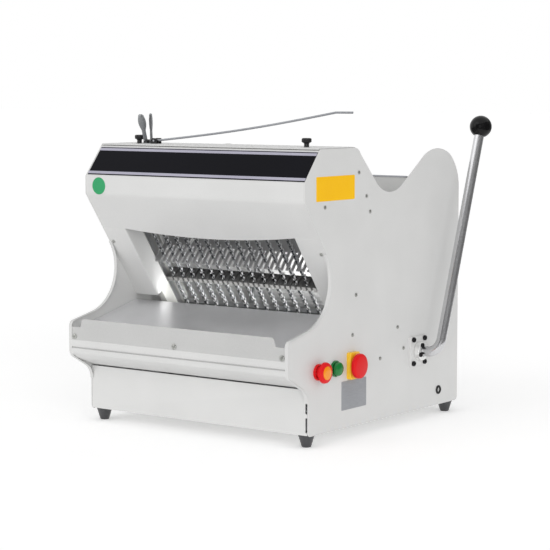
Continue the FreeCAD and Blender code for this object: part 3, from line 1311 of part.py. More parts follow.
def thumb_knob(word, side):
    """Knob on the roof: a wide head, a neck and a stud through the cover and the hood's lip."""
    spot = (f"{side}*knob_at", "knob_back")
    neck = rod(f"{word}_knob_neck", "case", (*spot, "roof_height"), "0.55*knob_radius", "0.5*knob_height", "z")
    head = rod(f"{word}_knob_head", "case", (*spot, "roof_height + 0.45*knob_height"), "knob_radius",
               "0.55*knob_height", "z")
    stud = rod(f"{word}_knob_stud", "case", (*spot, "roof_height - 12"), "bolt_radius", "13", "z")
    return node(fuse(f"{word}_knob", neck, head, stud), f"thumb_knob_{word}")


for build in (rubber_feet, bearing_bolts, panel_screws, spacer_posts, tie_rods, cable_grommet):
    build()
for word, side in SIDES:
    thumb_knob(word, side)
node(box("rating_label", "case", ("case_width/2", "case_width/2 + trim_thick"),
         ("plate_back", "plate_back + plate_width"), ("plate_low", "plate_low + plate_height")), "rating_plate")

# ---------------------------------------------------------------- bag holder

BRACKET_RIGHT = "(bracket_left + bracket_width)"
PIVOT = (f"({BRACKET_RIGHT} - 6)", "knob_back", "(roof_height + 8)")


def bag_bracket():
    """Small plate on the roof with two ears for the wire's pivot."""
    plate = box("bracket_base", "case", ("bracket_left", BRACKET_RIGHT), ("knob_back - 10", "knob_back + 10"),
                ("roof_height", "roof_height + 1.5"))
    ears = [box(f"bracket_ear_{index}", "case", (f"{BRACKET_RIGHT} - 12", BRACKET_RIGHT), y,
                ("roof_height", "roof_height + 13"))
            for index, y in enumerate((("knob_back - 8", "knob_back - 6"), ("knob_back + 6", "knob_back + 8")))]
    bore = rod("bracket_bore", "case", (PIVOT[0], "knob_back - 12", PIVOT[2]), "wire_radius + run_fit", "24",
               "y")
    return node(cut("bag_holder", fuse("bag_holder_blank", plate, *ears), bore), "bag_bracket")


def leaf(name, x, lean):
    """Springy strip that stands on the bracket, leaning along x."""
    strip = doc.addObject("Part::Box", name)
    bind(strip, "Length", "1.2")
    bind(strip, "Width", "14")
    bind(strip, "Height", "leaf_height")
    spot = f"vector({x}; knob_back - 7 - panel_depth/2; roof_height + 1.5 + foot_height)"
    bind(strip, "Placement", f"placement({spot}; rotation(vector(0; 1; 0); {lean}))")
    foot = box(f"{name}_foot", "case", (x, f"{x} + 8"), ("knob_back - 7", "knob_back + 7"),
               ("roof_height + 1.5", "roof_height + 3"))
    return fuse(f"{name}_bent", strip, foot)


def bag_wire():
    """Cranked wire: a pivot through the ears, a long rising arm and a level tip."""
    points = [FreeCAD.Vector(*[value(text) for text in where]) for where in (
        PIVOT, (PIVOT[0] + " + 384", "knob_back + 78", "roof_height + 66"),
        (PIVOT[0] + " + 418", "knob_back + 86", "roof_height + 66"))]
    radius = value("wire_radius")
    shape = Part.makeCylinder(radius, 20, points[0] - FreeCAD.Vector(0, 10, 0), FreeCAD.Vector(0, 1, 0))
    for start, end in zip(points, points[1:]):
        shape = shape.fuse(Part.makeCylinder(radius, (end - start).Length, start, end - start))
    shape = shape.fuse(Part.makeSphere(radius, points[1]))
    return node(repeat("bag_wire_bent", "case", [shape]), "bag_wire")


bag_bracket()
LEAVES = (leaf("left_leaf", "(bracket_left + 4)", "-8"), leaf("right_leaf", "(bracket_left + 17)", "-2"))
node(group("leaves", *LEAVES), "bag_leaves")
bag_wire()

# --------------------------------------------------------- checks and export

doc.recompute()
for thing in doc.Objects:
    if {"Invalid", "Error"} & set(thing.State):
        raise RuntimeError(f"{thing.Name} {thing.State}")
os.makedirs("parts", exist_ok=True)
labels = [thing.Label for thing in NODES]
if len(set(labels)) != len(labels):
    raise RuntimeError("two sub-parts share a name")
for thing in NODES:
    if thing.Shape.isNull() or not thing.Shape.isValid() or not thing.Shape.Solids:
        raise RuntimeError(f"{thing.Label} has no valid solid")
    thing.Shape.exportStep(f"parts/{thing.Label}.step")
print(len(labels), "sub-parts written")
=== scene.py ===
# %% [markdown]
# # A bench bread slicer
#
# The real machine is a folded box of light painted sheet steel. Two frames of
# toothed blades saw past each other behind a leaning hood, a long hand lever
# swings a pusher comb through them, and the slices come out over a steel tray.
# The CAD model fixes every place and size; here each visible piece gets the
# surface and the finish of the real thing.

# %% Load the fixed frame
import math

import bmesh
import bpy
import numpy as np
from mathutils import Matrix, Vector


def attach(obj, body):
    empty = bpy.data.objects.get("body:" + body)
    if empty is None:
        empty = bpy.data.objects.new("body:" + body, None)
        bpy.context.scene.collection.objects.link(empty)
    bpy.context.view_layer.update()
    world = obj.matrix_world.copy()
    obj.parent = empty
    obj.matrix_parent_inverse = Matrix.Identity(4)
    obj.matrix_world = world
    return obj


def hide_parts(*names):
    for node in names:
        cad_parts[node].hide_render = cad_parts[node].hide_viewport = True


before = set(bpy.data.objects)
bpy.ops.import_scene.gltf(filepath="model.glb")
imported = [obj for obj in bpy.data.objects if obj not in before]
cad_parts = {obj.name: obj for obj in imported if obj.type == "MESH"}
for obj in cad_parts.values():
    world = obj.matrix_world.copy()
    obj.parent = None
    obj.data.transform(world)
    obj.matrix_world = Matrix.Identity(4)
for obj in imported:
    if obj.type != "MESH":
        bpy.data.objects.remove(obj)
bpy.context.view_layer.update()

# %% [markdown]
# ## Where things are
#
# All drawing below is in millimetres, and one factor turns it to Blender's
# metres at the end. Four helper frames keep the numbers simple: the case
# (y from the front edge of the side panels, z from the underside of the base
# plate), the blades (leaning, with n square to them and t up along them), the
# lever, and the slope over the brow. Each is the part's own frame turned about
# X and shifted.

# %% Helper frames
MM = 0.001            # one millimetre in metres
HALF_WIDTH = 270.0    # outside of a side panel, from the middle
INNER = 268.0         # its inside, for 2 mm of sheet
DEPTH = 534.0         # side panels, front to back
FOOT = 28.5           # height of the feet
TILT = 35.3           # lean of the blades and of the slanted face, in degrees
BAND_TILT = 39.0      # lean of the slope with the trim band
LEAN = 19.0           # lean of the lever at rest
HOOD_N = -59.0        # the slanted face in the blades' frame
ARCH_Z = 279.0        # height of the arch's centre
ARCH_RADIUS = 90.0    # the arch over the tray in the side panels
ARCH_BACK = -14.7     # case y of the arch's centre
LEVER_Y, LEVER_Z = 377.0, 115.0    # the lever's shaft in the case
CRANK_Z = 71.0                     # height of the eccentric shaft
BROW_Y, BROW_Z = -12.0, 466.0      # the edge between slope and brow


def hood_y(z):
    """Case y of the hood's outer plane: the arch circle's tangent, y = r/cos a + y0 - (z - z0) tan a at tilt a."""
    angle = math.radians(TILT)
    return ARCH_RADIUS/math.cos(angle) + ARCH_BACK - (z - ARCH_Z)*math.tan(angle)


CRANK_Y = hood_y(CRANK_Z) - HOOD_N/math.cos(math.radians(TILT))
FRAMES = {
    "case": (-DEPTH/2, FOOT, 0.0),
    "blade": (CRANK_Y - DEPTH/2, CRANK_Z + FOOT, TILT),
    "lever": (LEVER_Y - DEPTH/2, LEVER_Z + FOOT, -LEAN),
    "brow": (BROW_Y - DEPTH/2, BROW_Z + FOOT, -BAND_TILT),
}
print("helper frames", {name: [round(value, 2) for value in spot] for name, spot in FRAMES.items()})


def placed(points, where):
    """Points of a helper frame in the part's frame: y' = y0 + y cos a - z sin a, z' = z0 + y sin a + z cos a."""
    base_y, base_z, angle = FRAMES[where]
    c, s = math.cos(math.radians(angle)), math.sin(math.radians(angle))
    points = np.asarray(points, float).reshape(-1, 3)
    x, y, z = points.T
    return np.stack([x, base_y + y*c - z*s, base_z + y*s + z*c], 1)


# %% [markdown]
# ## Camera and studio
#
# A product is shot from far away with a long lens, so its edges stay almost
# parallel. The light is a bright dome with three wide suns: a sun is the same
# everywhere, so the floor stays even up to the horizon. What the camera and
# reflections see behind the machine is plain white; the dome that lights it
# is a little dimmer, so the pale paint keeps its tone. The paper glows a
# little, which fills the undersides. Two strip lights over the tray reach into
# the outlet, and a grey card stands where the chromed lever mirrors it.

# %% Camera
# It looks 5.7 degrees down and stands 36.6 degrees round to the right.
lens = bpy.data.cameras.new("product_camera")
lens.lens = 122.70
lens.sensor_width = 36
camera = bpy.data.objects.new("product_camera", lens)
camera.location = (2.2676, -3.0639, 0.6699)
camera.rotation_euler = (math.radians(90 - 5.709), 0, math.radians(36.557))
bpy.context.scene.collection.objects.link(camera)
bpy.context.scene.camera = camera
bpy.context.scene.view_settings.view_transform = "Standard"
print("camera", lens.lens, "mm lens at", [round(value, 3) for value in camera.location])

# %% Node helpers


def linear(hexcode):
    """An sRGB hex colour as linear RGBA: v/12.92 up to 0.04045, else ((v + 0.055)/1.055) to the power 2.4."""
    v = np.array([int(hexcode[i:i + 2], 16) for i in (1, 3, 5)])/255
    return (*np.where(v <= 0.04045, v/12.92, ((v + 0.055)/1.055)**2.4).tolist(), 1.0)


def add(tree, kind, inputs=(), **settings):
    """Adds one node: settings are its properties; inputs gives sockets a value or the socket that feeds them."""
    made = tree.nodes.new(kind)
    for key, value in settings.items():
        setattr(made, key, value)
    for key, value in dict(inputs).items():
        if isinstance(value, bpy.types.NodeSocket):
            tree.links.new(value, made.inputs[key])
        else:
            made.inputs[key].default_value = value
    return made


def seen_directly(tree):
    """1 for camera, glossy and transmission rays, 0 for the diffuse rays that carry the light."""
    rays = add(tree, "ShaderNodeLightPath").outputs
    either = add(tree, "ShaderNodeMath", {0: rays["Is Camera Ray"], 1: rays["Is Glossy Ray"]}, operation="MAXIMUM")
    return add(tree, "ShaderNodeMath", {0: either.outputs[0], 1: rays["Is Transmission Ray"]},
               operation="MAXIMUM").outputs[0]


# %% Dome, suns and floor
DOME = 0.66    # how much of the dome's light the machine gets
dome = bpy.data.worlds.new("dome")
dome.use_nodes = True
bpy.context.scene.world = dome
background = dome.node_tree.nodes["Background"]
background.inputs["Color"].default_value = (1, 1, 1, 1)
level = add(dome.node_tree, "ShaderNodeMapRange",
            {"Value": seen_directly(dome.node_tree), "To Min": DOME, "To Max": 1.0})
dome.node_tree.links.new(level.outputs[0], background.inputs["Strength"])


def sun(name, toward, strength, softness):
    """A wide sun that shines from the given direction."""
    light = bpy.data.lights.new(name, "SUN")
    light.energy = strength
    light.angle = math.radians(softness)
    made = bpy.data.objects.new(name, light)
    made.rotation_euler = Vector(toward).to_track_quat("Z", "Y").to_euler()
    bpy.context.scene.collection.objects.link(made)
    print("sun", name, strength)


sun("front_softbox", (-0.35, -1.0, 0.5), 0.35, 50)
sun("side_softbox", (0.85, -0.6, 0.2), 0.75, 40)
sun("low_strip", (0.45, -1.0, 0.1), 0.4, 14)

# %% Paper floor


def stage_object(name, mesh_name, points, faces, material):
    """A floor or a card: it isn't part of the machine, so it is staged and rides on nothing."""
    mesh = bpy.data.meshes.new(mesh_name)
    mesh.from_pydata(points, [], faces)
    mesh.materials.append(material)
    made = bpy.data.objects.new(name, mesh)
    bpy.context.scene.collection.objects.link(made)
    print("stage", name)
    return made


PAPER_REACH = 40.0    # metres from the machine to the paper's edges
floor_paper = bpy.data.materials.new("white_paper_sweep")
floor_paper.use_nodes = True
tree = floor_paper.node_tree
shade = add(tree, "ShaderNodeMix", {0: seen_directly(tree), 6: linear("#EBEBEB"), 7: (1, 1, 1, 1)}, data_type="RGBA")
paper = tree.nodes["Principled BSDF"].inputs
tree.links.new(shade.outputs[2], paper["Base Color"])
paper["Roughness"].default_value = 1.0
paper["Specular IOR Level"].default_value = 0.0
paper["Emission Color"].default_value = (1, 1, 1, 1)
paper["Emission Strength"].default_value = 0.25
corners = [(u*PAPER_REACH, v*PAPER_REACH, 0) for u, v in ((-1, -1), (1, -1), (1, 1), (-1, 1))]
stage_object("paper_sweep", "paper", corners, [(0, 1, 2, 3)], floor_paper)

# %% Strip lights and card
# A wide strip fills the outlet's corner, and a tight one makes the low teeth glint.
for name, height, energy, spread, aim in (("outlet_strip", 211, 0.5, 180, (0, 0.6, 0.8)),
                                          ("teeth_strip", 204, 0.6, 50, (0, 1, 0.15))):
    light = bpy.data.lights.new(name, "AREA")
    light.shape = "RECTANGLE"
    light.size, light.size_y = 0.4, 0.02
    light.energy = energy
    light.spread = math.radians(spread)
    lamp = bpy.data.objects.new(name, light)
    lamp.location = placed([(0, 150, height)], "case")[0]*MM
    lamp.rotation_euler = (-Vector(aim)).to_track_quat("Z", "Y").to_euler()
    lamp.visible_camera = lamp.visible_glossy = False
    bpy.context.scene.collection.objects.link(lamp)
    print("strip light", name, energy)

# The card gives the chromed lever its dark side. Only reflections see it, so it takes no light away.
card_grey = bpy.data.materials.new("grey_card")
card_grey.use_nodes = True
card_grey.node_tree.nodes["Principled BSDF"].inputs["Base Color"].default_value = linear("#868686")
plan = [(-0.5, -1.5), (0.55, -1.5), (1.3, -0.7), (1.3, 1.6), (0.2, 1.6)]
card = stage_object("grey_card", "card", [(x, y, z) for z in (0.0, 1.5) for x, y in plan],
                    [(k, k + 1, k + 6, k + 5) for k in range(4)], card_grey)
card.visible_camera = card.visible_diffuse = card.visible_shadow = False

# %% [markdown]
# ## Finishes
#
# One recipe serves every finish: fine grain from noise gives tone, roughness
# and a shallow bump, a wide cloud breaks up large flat faces, and worn edges
# are a little lighter. What differs is what the real surface is: how large its
# grain is, whether it runs one way, how it reflects.

# %% The finish recipe


def finish(name, low, high, rough, metal=0.0, grain=1.5, stretch=(1, 1, 1), bump=0.02, wear=0.0, **constants):
    """Two hex tones, a roughness range, the grain in mm and a bump height in mm.

    Tone and roughness run from low to high by the share (0.55 fine + 0.45 cloud - 0.35)/0.3, kept within 0 and 1.
    """
    made = bpy.data.materials.new(name)
    made.use_nodes = True
    tree = made.node_tree
    shader = tree.nodes["Principled BSDF"]
    spot = add(tree, "ShaderNodeTexCoord").outputs["Object"]
    run = add(tree, "ShaderNodeMapping", {"Vector": spot, "Scale": stretch}).outputs[0]
    fine = add(tree, "ShaderNodeTexNoise",
               {"Vector": run, "Scale": 1/(grain*MM), "Detail": 3.0, "Roughness": 0.6}).outputs[0]
    cloud = add(tree, "ShaderNodeTexNoise", {"Vector": spot, "Scale": 9.0, "Detail": 2.0}).outputs[0]
    both = add(tree, "ShaderNodeMix", {0: 0.45, 2: fine, 3: cloud}).outputs[0]
    share = add(tree, "ShaderNodeMapRange", {"Value": both, "From Min": 0.35, "From Max": 0.65}).outputs[0]
    tone = add(tree, "ShaderNodeMix", {0: share, 6: linear(low), 7: linear(high)}, data_type="RGBA").outputs[2]
    if wear:
        edge = add(tree, "ShaderNodeNewGeometry").outputs["Pointiness"]
        worn = add(tree, "ShaderNodeMapRange",
                   {"Value": edge, "From Min": 0.52, "From Max": 0.62, "To Max": wear}).outputs[0]
        tone = add(tree, "ShaderNodeMix", {0: worn, 6: tone, 7: linear("#F4F4F2")}, data_type="RGBA").outputs[2]
    gloss = add(tree, "ShaderNodeMapRange",
                {"Value": both, "From Min": 0.35, "From Max": 0.65, "To Min": rough[0], "To Max": rough[1]})
    relief = add(tree, "ShaderNodeBump", {"Height": fine, "Distance": bump*MM, "Strength": 1.0})
    tree.links.new(tone, shader.inputs["Base Color"])
    tree.links.new(gloss.outputs[0], shader.inputs["Roughness"])
    tree.links.new(relief.outputs[0], shader.inputs["Normal"])
    shader.inputs["Metallic"].default_value = metal
    for socket, value in constants.items():
        shader.inputs[socket.replace("_", " ")].default_value = value
    print("finish", name)
    return made


# %% Powder coat
# Powder-coated steel: baked powder leaves a faint orange peel about 1.5 mm wide and a satin gloss.
PAINT = finish("powder_coated_steel", "#CFCFCE", "#D7D7D6", (0.34, 0.44), grain=1.5, bump=0.012, wear=0.25)
# The lip of the tray and the pusher have a slightly greyer powder coat than the case.
PAINT_GREY = finish("grey_powder_coated_steel", "#BABAB9", "#C3C3C2", (0.36, 0.46), grain=1.5, bump=0.012, wear=0.2)

# %% Stainless steel
# Brushed stainless steel: belt-ground along x, so its scratches are long and its highlight is soft.
STAINLESS = finish("brushed_stainless_steel", "#C4C4C6", "#D8D8DA", (0.48, 0.6), 1.0, 0.7, (0.03, 1, 1), 0.01)
# The tray's steel is brushed front to back and buffed afterwards, so it is paler.
TRAY_STEEL = finish("buffed_stainless_steel", "#E6E6E8", "#F4F4F6", (0.3, 0.38), 0.7, 0.7, (1, 0.04, 1), 0.004)
# Ground stainless steel of a bread blade: finer scratches along the blade and a brighter mirror.
BLADE = finish("ground_blade_steel", "#8A8C8E", "#9C9EA0", (0.1, 0.16), 1.0, 0.5, (1, 1, 0.05), 0.001)
# The hollow-ground cutting edge, with coarser wheel marks across it. Its near-white tone with almost no metal is a
# painted glint that makes each tooth shine.
GLINT_EDGE = finish("cutting_edge_painted_glint", "#CECFD0", "#DADBDC", (0.45, 0.55), 0.1, 0.4, (1, 1, 0.3), 0.01)
# Stainless steel left matt by bead blasting, for the blade frames and the pusher's arms: even, without a mirror.
MATT = finish("bead_blasted_stainless_steel", "#BEBFC0", "#D2D3D4", (0.5, 0.62), 1.0, 0.4, bump=0.01)
# The feed floor is stainless sheet, polished a little by the bread that slides over it.
FLOOR_STEEL = finish("slid_stainless_steel", "#A2A2A3", "#B2B2B3", (0.4, 0.5), 0.6, 0.4, bump=0.006)

# %% Other metals
# Cold-drawn steel bar: smooth, a little greyer, with a drawn grain along its length.
BAR_STEEL = finish("cold_drawn_steel", "#9A9C9E", "#B0B2B4", (0.3, 0.45), 1.0, 0.8, (0.05, 1, 1), 0.01)
# Cast aluminium: sand-blasted after casting, so a dull even sparkle.
CAST = finish("cast_aluminium", "#C6C8C9", "#D8D9DA", (0.45, 0.6), 1.0, 0.6, bump=0.02)
# Turned and polished aluminium: bright, with fine turning marks.
POLISHED = finish("polished_aluminium", "#EFEFEE", "#F6F6F5", (0.42, 0.5), 0.6, 0.4, bump=0.003)
# Hard chrome over steel: almost a mirror, with faint polishing lines.
CHROME = finish("chrome_plate", "#CACACC", "#D6D6D8", (0.2, 0.26), 1.0, 0.4, (1, 1, 0.05), 0.002)
# Zinc-plated steel screws: pale, slightly mottled metal.
ZINC = finish("zinc_plated_steel", "#A7A8A4", "#C2C3BF", (0.28, 0.45), 1.0, 0.5, bump=0.004)
# Blackened steel: hot oiled oxide, dark with a dull metal gleam.
BLACK_STEEL = finish("blackened_steel", "#2A2A2C", "#3A3A3C", (0.35, 0.5), 1.0, 0.5, bump=0.006)

# %% Plastics and rubber
# Phenolic resin, moulded and polished: deep black under a clear gloss.
PHENOLIC = finish("moulded_phenolic", "#060607", "#0B0B0C", (0.16, 0.24), grain=0.8, bump=0.002,
                  Specular_IOR_Level=0.25)
# Hard rubber of the feet: dark grey with the sheen of a smooth mould.
FOOT_RUBBER = finish("smooth_moulded_rubber", "#39393B", "#47474A", (0.3, 0.42), grain=0.6, bump=0.004)
# Moulded rubber: matt black with a fine sandblasted mould texture.
RUBBER = finish("moulded_rubber", "#141415", "#202022", (0.6, 0.78), grain=0.4, bump=0.01)
# Grey nylon of the slotted blade guides: dense, satin, slippery on the blades.
GUIDE_NYLON = finish("grey_guide_nylon", "#4C4C4B", "#585857", (0.4, 0.5), grain=0.6, bump=0.006)
# Natural acetal of the guide rails: dense, off-white and a little waxy.
ACETAL = finish("natural_acetal", "#B4B4B0", "#C2C2BE", (0.38, 0.5), grain=0.6, bump=0.006)
# Black moulded ABS of the thumb knobs.
ABS_BLACK = finish("moulded_black_abs", "#131315", "#1E1E20", (0.3, 0.42), grain=0.5, bump=0.005)
# Stove enamel on the motor: hammered look, grey-green.
ENAMEL = finish("motor_enamel", "#4A5358", "#5D676C", (0.3, 0.45), grain=2.5, bump=0.03)
# Glossy moulded polyamide of push buttons, coloured through.
RED = finish("red_button_plastic", "#DB0E14", "#E3161C", (0.3, 0.38), grain=0.8, bump=0.002, Specular_IOR_Level=0.25)
GREEN = finish("green_button_plastic", "#0A6B2B", "#0F7C35", (0.12, 0.2), grain=0.8, bump=0.002)
YELLOW = finish("yellow_button_plastic", "#FFC72A", "#FFD038", (0.2, 0.3), grain=0.8, bump=0.002)
# The amber disc on the stop button is a painted highlight: the bright centre of the glossy red face.
AMBER_HIGHLIGHT = finish("amber_painted_highlight", "#F08A0C", "#F89A14", (0.1, 0.18), grain=0.8, bump=0.002)

# %% Label film, anodised plate and wire
# Polyester label film: printed from behind, so the ink lies under a clear gloss.
FILM_BLACK = finish("black_label_film", "#0A0A10", "#0E0E15", (0.3, 0.38), grain=1.0, bump=0.001,
                    Specular_IOR_Level=0.06)
FILM_SILVER = finish("silver_label_film", "#A19FB0", "#B3B1C0", (0.25, 0.35), grain=1.0, bump=0.001)
FILM_GREEN = finish("green_sticker_film", "#179157", "#27A86A", (0.35, 0.45), grain=1.0, bump=0.002)
FILM_YELLOW = finish("yellow_sticker_film", "#F6BA00", "#FCC604", (0.4, 0.5), grain=1.0, bump=0.002,
                     Specular_IOR_Level=0.2)
# Anodised aluminium plate: satin grey with a fine brushed grain.
ANODISED = finish("anodised_aluminium", "#9A9CA1", "#B0B2B6", (0.45, 0.6), 0.6, 0.6, (1, 0.05, 1), 0.004)
# Galvanised spring wire: a dull zinc skin, drawn smooth.
WIRE = finish("galvanised_spring_wire", "#9A9CA1", "#B0B2B6", (0.45, 0.6), 0.6, 0.6, (1, 0.05, 1), 0.004)

# %% [markdown]
# ## Surfaces from numpy
#
# A piece could be built with Blender's operators, but a surface worked out as
# an array says its own formula and can be changed by one number. Every helper
# returns points and faces; `piece` turns them into a Blender object, merges
# doubles, points the faces outwards and hands the object to its CAD body.

# %% Faces of a grid


def grid_faces(rows, columns, wrap=False):
    """Quads between neighbouring rows and columns of a grid of points; wrap joins the last column to the first."""
    across = columns if wrap else columns - 1
    r, c = np.meshgrid(np.arange(rows - 1), np.arange(across), indexing="ij")
    r, c, d = r.ravel(), c.ravel(), (c.ravel() + 1) % columns
    return np.stack([r*columns + c, r*columns + d, (r + 1)*columns + d, (r + 1)*columns + c], 1).tolist()


def end_caps(rows, columns):
    """The first and the last row of a wrapped grid, each as one face."""
    last = (rows - 1)*columns
    return [list(range(columns)), list(range(last, last + columns))]


print("3 rows of 4 points make", len(grid_faces(3, 4)), "faces")

# %% From arrays to an object
SHARP = math.radians(32)    # edges that turn more than this stay crisp


def closed(points, faces):
    """One shell with its doubles merged and its faces turned outwards, as plain lists."""
    shell = bmesh.new()
    spots = [shell.verts.new(point) for point in (np.asarray(points)*MM).tolist()]
    for face in faces:
        if len(set(face)) > 2:
            shell.faces.new([spots[index] for index in face])
    bmesh.ops.remove_doubles(shell, verts=shell.verts, dist=5e-6)
    bmesh.ops.dissolve_degenerate(shell, edges=shell.edges, dist=1e-6)
    bmesh.ops.recalc_face_normals(shell, faces=shell.faces)
    shell.verts.index_update()
    result = [tuple(v.co) for v in shell.verts], [[v.index for v in face.verts] for face in shell.faces]
    shell.free()
    return result


def piece(name, parts, finish, body, stands_for=(), bevel=0.0):
    """A Blender object from closed shells in millimetres, riding on a CAD body."""
    points, faces = [], []
    for part in parts:
        part_points, part_faces = closed(*part)
        faces += [[index + len(points) for index in face] for face in part_faces]
        points += part_points
    mesh = bpy.data.meshes.new(name)
    mesh.from_pydata(points, [], faces)
    mesh.shade_smooth()
    mesh.set_sharp_from_angle(angle=SHARP)
    mesh.materials.append(finish)
    made = bpy.data.objects.new(name, mesh)
    bpy.context.scene.collection.objects.link(made)
    if bevel:
        edge = made.modifiers.new("edge", "BEVEL")
        edge.width = bevel*MM
        edge.segments = 2
        edge.limit_method = "ANGLE"
        edge.angle_limit = SHARP
        edge.harden_normals = True
    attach(made, body)
    if stands_for:
        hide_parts(*stands_for)
    print(name, len(points), "points")


# %% [markdown]
# ## Side panels
#
# On the real machine each side is one laser-cut sheet with its front edge
# folded in. The outline is a chain of lines and arcs, carried across the
# sheet's 2 mm; the folded rim and the nose's wide flange are strips that
# follow the same outline. A small bevel stands for the rounded, painted edge.

# %% Outlines of lines and arcs


def arc_through(start, middle, end):
    """Points c + r (cos a, sin a) on the circle through three points, from start to end by way of middle."""
    (ax, ay), (bx, by), (cx, cy) = start, middle, end
    d = 2*(ax*(by - cy) + bx*(cy - ay) + cx*(ay - by))
    ux = ((ax**2 + ay**2)*(by - cy) + (bx**2 + by**2)*(cy - ay) + (cx**2 + cy**2)*(ay - by))/d
    uy = ((ax**2 + ay**2)*(cx - bx) + (bx**2 + by**2)*(ax - cx) + (cx**2 + cy**2)*(bx - ax))/d
    a0, am, a1 = (math.atan2(y - uy, x - ux) for x, y in (start, middle, end))
    sweep = (a1 - a0) % (2*math.pi)
    if (am - a0) % (2*math.pi) > sweep:
        sweep -= 2*math.pi
    a = a0 + sweep*np.linspace(0, 1, 16)
    radius = math.hypot(ax - ux, ay - uy)
    return np.stack([ux + radius*np.cos(a), uy + radius*np.sin(a)], 1)


def traced(steps):
    """A closed outline: (y, z) is a line to a point, (mid y, mid z, y, z) an arc."""
    points = []
    for index, step in enumerate(steps):
        start = steps[index - 1][-2:]
        points += [step] if len(step) == 2 else arc_through(start, step[:2], step[2:])[1:].tolist()
    return np.array(points, float)


print("an arc has", len(arc_through((1, 0), (0.6, 0.8), (0, 1))), "points")

# %% Slabs and blocks


def slab(outline, low, high, where="case"):
    """An outline in y and z, carried along x from low to high, with both ends closed."""
    outline = np.asarray(outline, float)
    count = len(outline)
    points = np.concatenate([np.c_[np.full(count, x), outline] for x in (low, high)])
    faces = grid_faces(2, count, True) + [list(range(count))[::-1], list(range(count, 2*count))]
    return placed(points, where), faces


def block(x, y, z, where="case"):
    """A box between low and high values on each axis of a helper frame."""
    (y0, y1), (z0, z1) = y, z
    return slab([(y0, z0), (y1, z0), (y1, z1), (y0, z1)], x[0], x[1], where)


print("a block has", len(block((0, 1), (0, 1), (0, 1))[0]), "points")

# %% Sheets


def grid_points(x, y, z, where):
    """Three arrays that broadcast to one grid, as points of the part's frame, shape (rows, columns, 3)."""
    points = np.stack(np.broadcast_arrays(x, y, z), -1)
    return placed(points, where).reshape(points.shape)


def thicken(grid, wall):
    """A closed sheet from a grid of points (rows, columns, 3).

    Its back is grid + wall n, where n is the unit normal: the cross product of the grid's two directions.
    """
    grid = np.asarray(grid, float)
    normal = np.cross(np.gradient(grid, axis=1), np.gradient(grid, axis=0))
    normal /= np.linalg.norm(normal, axis=2)[..., None]
    rows, columns, _ = grid.shape
    behind = rows*columns
    front = np.arange(behind).reshape(rows, columns)
    faces = grid_faces(rows, columns)
    faces += [[index + behind for index in face[::-1]] for face in faces]
    for rim in (front[0], front[-1], front[:, 0], front[:, -1]):
        faces += [[a, b, b + behind, a + behind] for a, b in zip(rim.tolist(), rim[1:].tolist())]
    return np.concatenate([grid.reshape(-1, 3), (grid + normal*wall).reshape(-1, 3)]), faces


def sheet_along(path, xs, wall):
    """A folded sheet: a path of (y, z) in the case, carried across it over the given x."""
    path = np.asarray(path, float)
    return thicken(grid_points(np.asarray(xs, float), path[:, :1], path[:, 1:], "case"), wall)


print("a folded sheet has", len(sheet_along([(0, 0), (1, 0), (1, 1)], (0, 1), 0.1)[0]), "points")

# %% The panels' outline
T, B = math.radians(TILT), math.radians(BAND_TILT)
ROOF_Z = 528.0      # top of the roof and of the side panels
SKIRT = -6.0        # the panels hang this far below the base plate
NOSE_Y = -62.0      # front of the noses beside the tray
BEND_Z = ARCH_Z + (ARCH_RADIUS/math.cos(T) + ARCH_BACK - BROW_Y)/math.tan(T)
BAND_TOP_Y = BROW_Y + (ROOF_Z - BROW_Z)*math.tan(B)
FRONT_EDGE = [
    (0, 57), (-4.96, 75, -15.5, 86.5), (-52, 107), (-59.3, 113.5, NOSE_Y, 123), (NOSE_Y, 168), (-59.5, 175.5, -52, 179),
    (4.01, 190.97), (ARCH_RADIUS + ARCH_BACK, ARCH_Z,
                     ARCH_RADIUS*math.cos(T) + ARCH_BACK, ARCH_Z + ARCH_RADIUS*math.sin(T)),
]
PANEL = FRONT_EDGE + [
    (BROW_Y, BEND_Z), (BROW_Y, BROW_Z), (BAND_TOP_Y, ROOF_Z), (150, ROOF_Z), (163, 525, 172, 516), (231, 455),
    (274, 439, 317, 450), (400, 507), (446, 519.5, 495, 508.5), (521, 482, DEPTH, 431),
    (DEPTH, 2), (531.66, -3.66, 526, SKIRT), (8, SKIRT), (2.34, -3.66, 0, 2),
]
print("outline of a side panel", len(traced(PANEL)), "points")

# %% The panels


def rim_strip(side):
    """The folded front edge: a 7 mm strip along the outline's front, 0.2 mm proud of it, with its wall inwards."""
    path = traced(FRONT_EDGE)
    xs = (HALF_WIDTH - np.array([7.0, 4.0, 1.0, -0.2]))*side
    along = np.gradient(path, axis=0)
    along /= np.linalg.norm(along, axis=1)[:, None]
    out = np.stack([-along[:, 1], along[:, 0]], 1)*0.2
    return sheet_along(path + out, xs, 2.0*side)


for word, side in (("right", 1), ("left", -1)):
    low, high = sorted((INNER*side, HALF_WIDTH*side))
    near, far = sorted((240*side, INNER*side))
    piece(f"side_{word}", [
        slab(traced(PANEL), low, high),
        block((near, far), (NOSE_Y, NOSE_Y + 2), (144, 168)),
        block((near, far), (HOOD_N + 2, HOOD_N + 4), (345, 375), "blade"),
        rim_strip(side),
    ], PAINT, "case", [f"side_panel_{word}"], bevel=0.7)

# %% [markdown]
# ## Hood
#
# The hood is one sheet: a lip under the roof, the slope that carries the trim
# band, an upright brow and the long slanted face with the outlet in it. The
# outlet's top edge sags a little, so the last row of the grid follows an arc;
# each leg beside the outlet turns back into a flange.

# %% Bends


def rounded(corners, radii):
    """A path whose inner corners become Bezier curves (1-t)^2 a + 2t(1-t) corner + t^2 b, tangent to both runs."""
    corners = np.asarray(corners, float)
    out = [corners[0]]
    for before, corner, after, radius in zip(corners, corners[1:], corners[2:], radii):
        a = corner + (before - corner)/np.linalg.norm(before - corner)*radius
        b = corner + (after - corner)/np.linalg.norm(after - corner)*radius
        t = np.linspace(0, 1, 7)[:, None]
        out += list((1 - t)**2*a + 2*t*(1 - t)*corner + t**2*b)
    return np.array(out + [corners[-1]])


